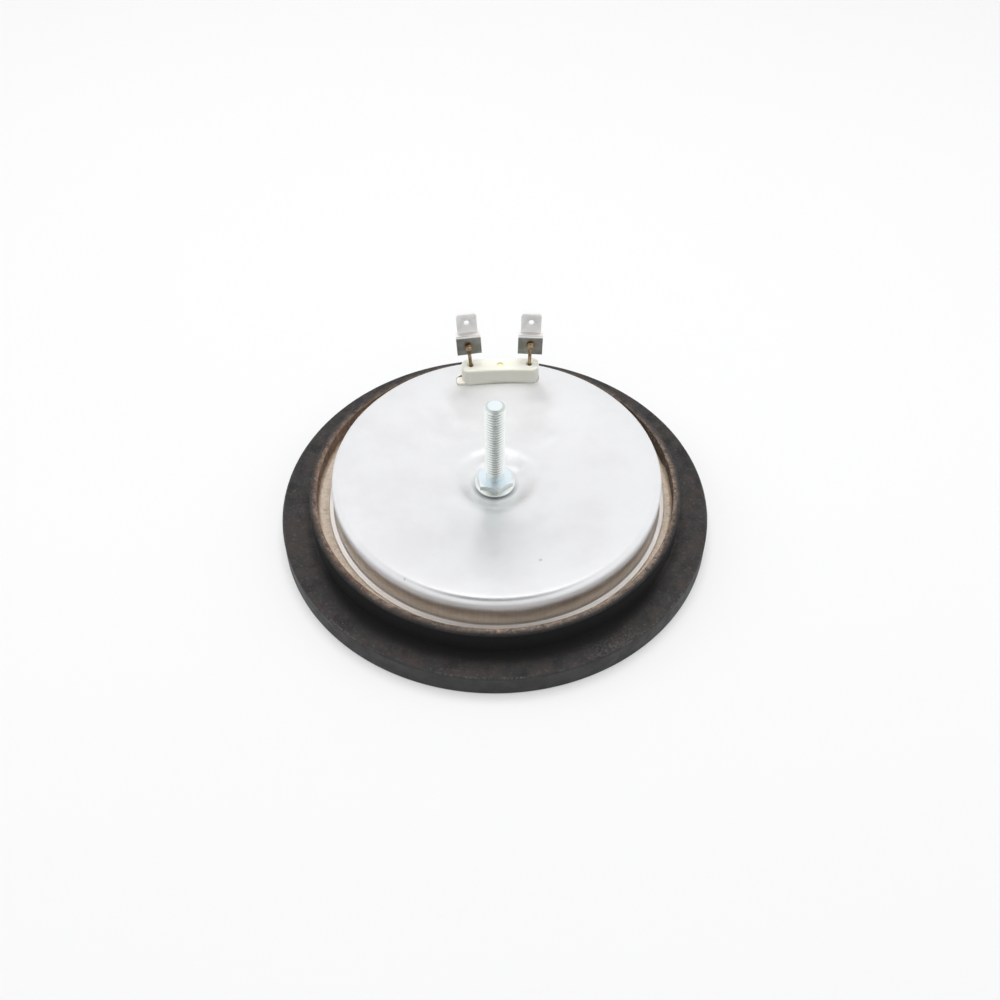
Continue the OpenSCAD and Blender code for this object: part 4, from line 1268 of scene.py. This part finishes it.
class HOTPLATE_OT_leads(bpy.types.Operator):
    """Bend the two lead wires and weld them to their tabs"""

    bl_idname = "hotplate.leads"
    bl_label = "Lead Wires"

    def nugget(self, s, tab):
        """The flattened weld nugget, in the frame of the wire above the block."""
        bm = bmesh.new()
        bmesh.ops.create_icosphere(bm, subdivisions=4, radius=s.nugget)
        for v in bm.verts:
            v.co *= 1 + 0.16 * swelling(v.co * 1500, 0.7, 3)
            v.co.y *= 0.75
            v.co.z *= 1.1
            v.co.y = min(v.co.y, tab.weld_face)
            lateral = math.hypot(v.co.x, v.co.z) / s.nugget
            if v.co.y < 0:
                v.co.y += s.hollow * hump(lateral - 0.62, 0.35)
        return moved(bm, Matrix.Translation((0, 0, s.up - s.nugget)))

    def execute(self, context):
        s = context.scene.hotplate_leads
        block = context.scene.hotplate_block
        tab = context.scene.hotplate_tabs
        place = block_matrix(block)
        finish = lead_finish(s, welds(context.scene))
        for name, side, turned, lean, pin in (
            ("left", -1, tab.left_turn, s.left_lean, "inner_coil_pin"),
            ("right", 1, tab.right_turn, s.right_lean, "outer_coil_pin"),
        ):
            low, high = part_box(pin)
            start = (low + high) / 2
            points = [Vector((start.x, start.y, s.pin_top)), Vector((start.x, start.y, s.rise))]
            if side < 0:
                points.append(place @ Vector((-block.hole_offset - s.elbow_out, 0, s.rise)))
            points += [place @ Vector((side * block.hole_offset, 0, z)) for z in (s.rise, block.top)]
            above = lead_matrix(block, side, turned, lean)
            points.append(above @ Vector((0, 0, s.up - 0.3 * MM)))
            bm = joined(tube(points, s.radius, s.bend), moved(self.nugget(s, tab), above))
            show(f"{name}_wire", bm, finish, "lead_wire", f"{name}_lead_wire")
        return {"FINISHED"}


class HOTPLATE_OT_inner_parts(bpy.types.Operator):
    """Finish the coil, its pins and the beads that the cover hides"""

    bl_idname = "hotplate.inner_parts"
    bl_label = "Coil, Pins and Beads"

    def execute(self, context):
        wire = resistance_finish(context.scene.hotplate_leads)
        for node in ("heating_coil", "inner_coil_pin", "outer_coil_pin"):
            dress(node, wire)
        beads = ceramic_finish("bead_ceramic", context.scene.hotplate_block)
        for node in ("left_lead_beads", "right_lead_beads"):
            dress(node, beads)
        return {"FINISHED"}


class HOTPLATE_OT_stage(bpy.types.Operator):
    """Lay the floor, hang the lamps and set up the camera"""

    bl_idname = "hotplate.stage"
    bl_label = "Stage"

    def floor(self, s):
        """A wide pale floor that keeps the shadow, and is white far away."""
        bm = bmesh.new()
        bmesh.ops.create_circle(bm, cap_ends=True, segments=96, radius=s.floor_radius)
        shift(bm, (0, 0, -s.floor_gap))
        m = Finish("pale_floor", s.floor)
        m.paint(m.fade(m.noise(3, 2), 0.3, 0.7), tuple(c * 0.985 for c in s.floor))
        seen = m.seen()
        m.paint(m.times(seen, 1 - s.shown), (0, 0, 0))
        glow = m.times(seen, m.fade(m.radius(), s.white_from, s.white_to, s.lift, 1.0))
        finish = m.done(rough=0.9, specular=0.1, glow=glow, glow_colour=(1, 1, 1))
        floor = placed("floor", bm, finish)

    def lamp(self, name, place, width, height, power, mirrored):
        """A soft rectangular lamp that points at the object, and shows in the metal if mirrored."""
        light = bpy.data.lights.new(name, "AREA")
        light.shape = "RECTANGLE"
        light.size = width
        light.size_y = height
        light.energy = power
        lamp = bpy.data.objects.new(name, light)
        lamp.location = place
        lamp.visible_glossy = mirrored
        lamp.rotation_euler = (-Vector(place)).to_track_quat("-Z", "Y").to_euler()
        bpy.context.scene.collection.objects.link(lamp)

    def room(self, s):
        """White where it is seen, but for a dark card over the camera, which the bright metal
        mirrors, and softer where it lights the object."""
        world = bpy.data.worlds.new("room")
        bpy.context.scene.world = world
        world.use_nodes = True
        room = Nodes(world.node_tree)
        light = room.tree.nodes["Background"]
        light.inputs["Color"].default_value = (0.97, 0.985, 1, 1)
        light.inputs["Strength"].default_value = s.ambient
        way = room.node("ShaderNodeTexCoord", out="Generated")
        toward = room.node("ShaderNodeVectorMath", out="Value", operation="DOT_PRODUCT",
                           feed=[(0, way), (1, Vector(s.card_way).normalized())])
        card = room.fade(toward, math.cos(s.card_edge), math.cos(s.card_core), s.white, s.card)
        white = room.node("ShaderNodeBackground", feed=[("Color", (1, 1, 1)), ("Strength", card)])
        mixed = room.node("ShaderNodeMixShader",
                          feed=[("Fac", room.seen()), (1, light.outputs[0]), (2, white)])
        room.plug(room.tree.nodes["World Output"].inputs["Surface"], mixed)

    def execute(self, context):
        s = context.scene.hotplate_stage
        self.floor(s)
        self.room(s)
        for row in LAMPS:
            self.lamp(*row)
        eye, aim = Vector(s.eye), Vector(s.aim)
        data = bpy.data.cameras.new("camera")
        data.lens = s.lens
        data.sensor_width = 36
        data.clip_start = 0.01
        camera = bpy.data.objects.new("camera", data)
        camera.location = eye
        facing = (aim - eye).to_track_quat("-Z", "Y").to_matrix().to_4x4()
        camera.rotation_euler = (facing @ Matrix.Rotation(s.roll, 4, "Z")).to_euler()
        context.scene.collection.objects.link(camera)
        context.scene.camera = camera
        context.scene.view_settings.view_transform = "Standard"
        return {"FINISHED"}


class HOTPLATE_PT_panel(bpy.types.Panel):
    """Lists the operators that build the element"""

    bl_label = "Hot Plate Element"
    bl_idname = "HOTPLATE_PT_panel"
    bl_space_type = "VIEW_3D"
    bl_region_type = "UI"
    bl_category = "Hot Plate"

    def draw(self, context):
        for operator in OPERATORS:
            self.layout.operator(operator.bl_idname)


SETTINGS = {
    "hotplate_casting": CastingSettings,
    "hotplate_compound": CompoundSettings,
    "hotplate_cover": CoverSettings,
    "hotplate_stud": StudSettings,
    "hotplate_block": BlockSettings,
    "hotplate_leads": LeadSettings,
    "hotplate_tabs": TabSettings,
    "hotplate_stage": StageSettings,
}
OPERATORS = (
    HOTPLATE_OT_stage,
    HOTPLATE_OT_casting,
    HOTPLATE_OT_compound,
    HOTPLATE_OT_cover,
    HOTPLATE_OT_stud,
    HOTPLATE_OT_block,
    HOTPLATE_OT_tabs,
    HOTPLATE_OT_leads,
    HOTPLATE_OT_inner_parts,
)


def register():
    """Adds the settings, the operators and the panel."""
    for name, group in SETTINGS.items():
        bpy.utils.register_class(group)
        setattr(bpy.types.Scene, name, PointerProperty(type=group))
    for cls in (*OPERATORS, HOTPLATE_PT_panel):
        bpy.utils.register_class(cls)


def unregister():
    """Takes them away again."""
    for cls in reversed((*OPERATORS, HOTPLATE_PT_panel)):
        bpy.utils.unregister_class(cls)
    for name, group in reversed(SETTINGS.items()):
        delattr(bpy.types.Scene, name)
        bpy.utils.unregister_class(group)


def main():
    """Builds the element."""
    register()
    for operator in OPERATORS:
        group, name = operator.bl_idname.split(".")
        getattr(getattr(bpy.ops, group), name)()


if __name__ == "__main__":
    main()
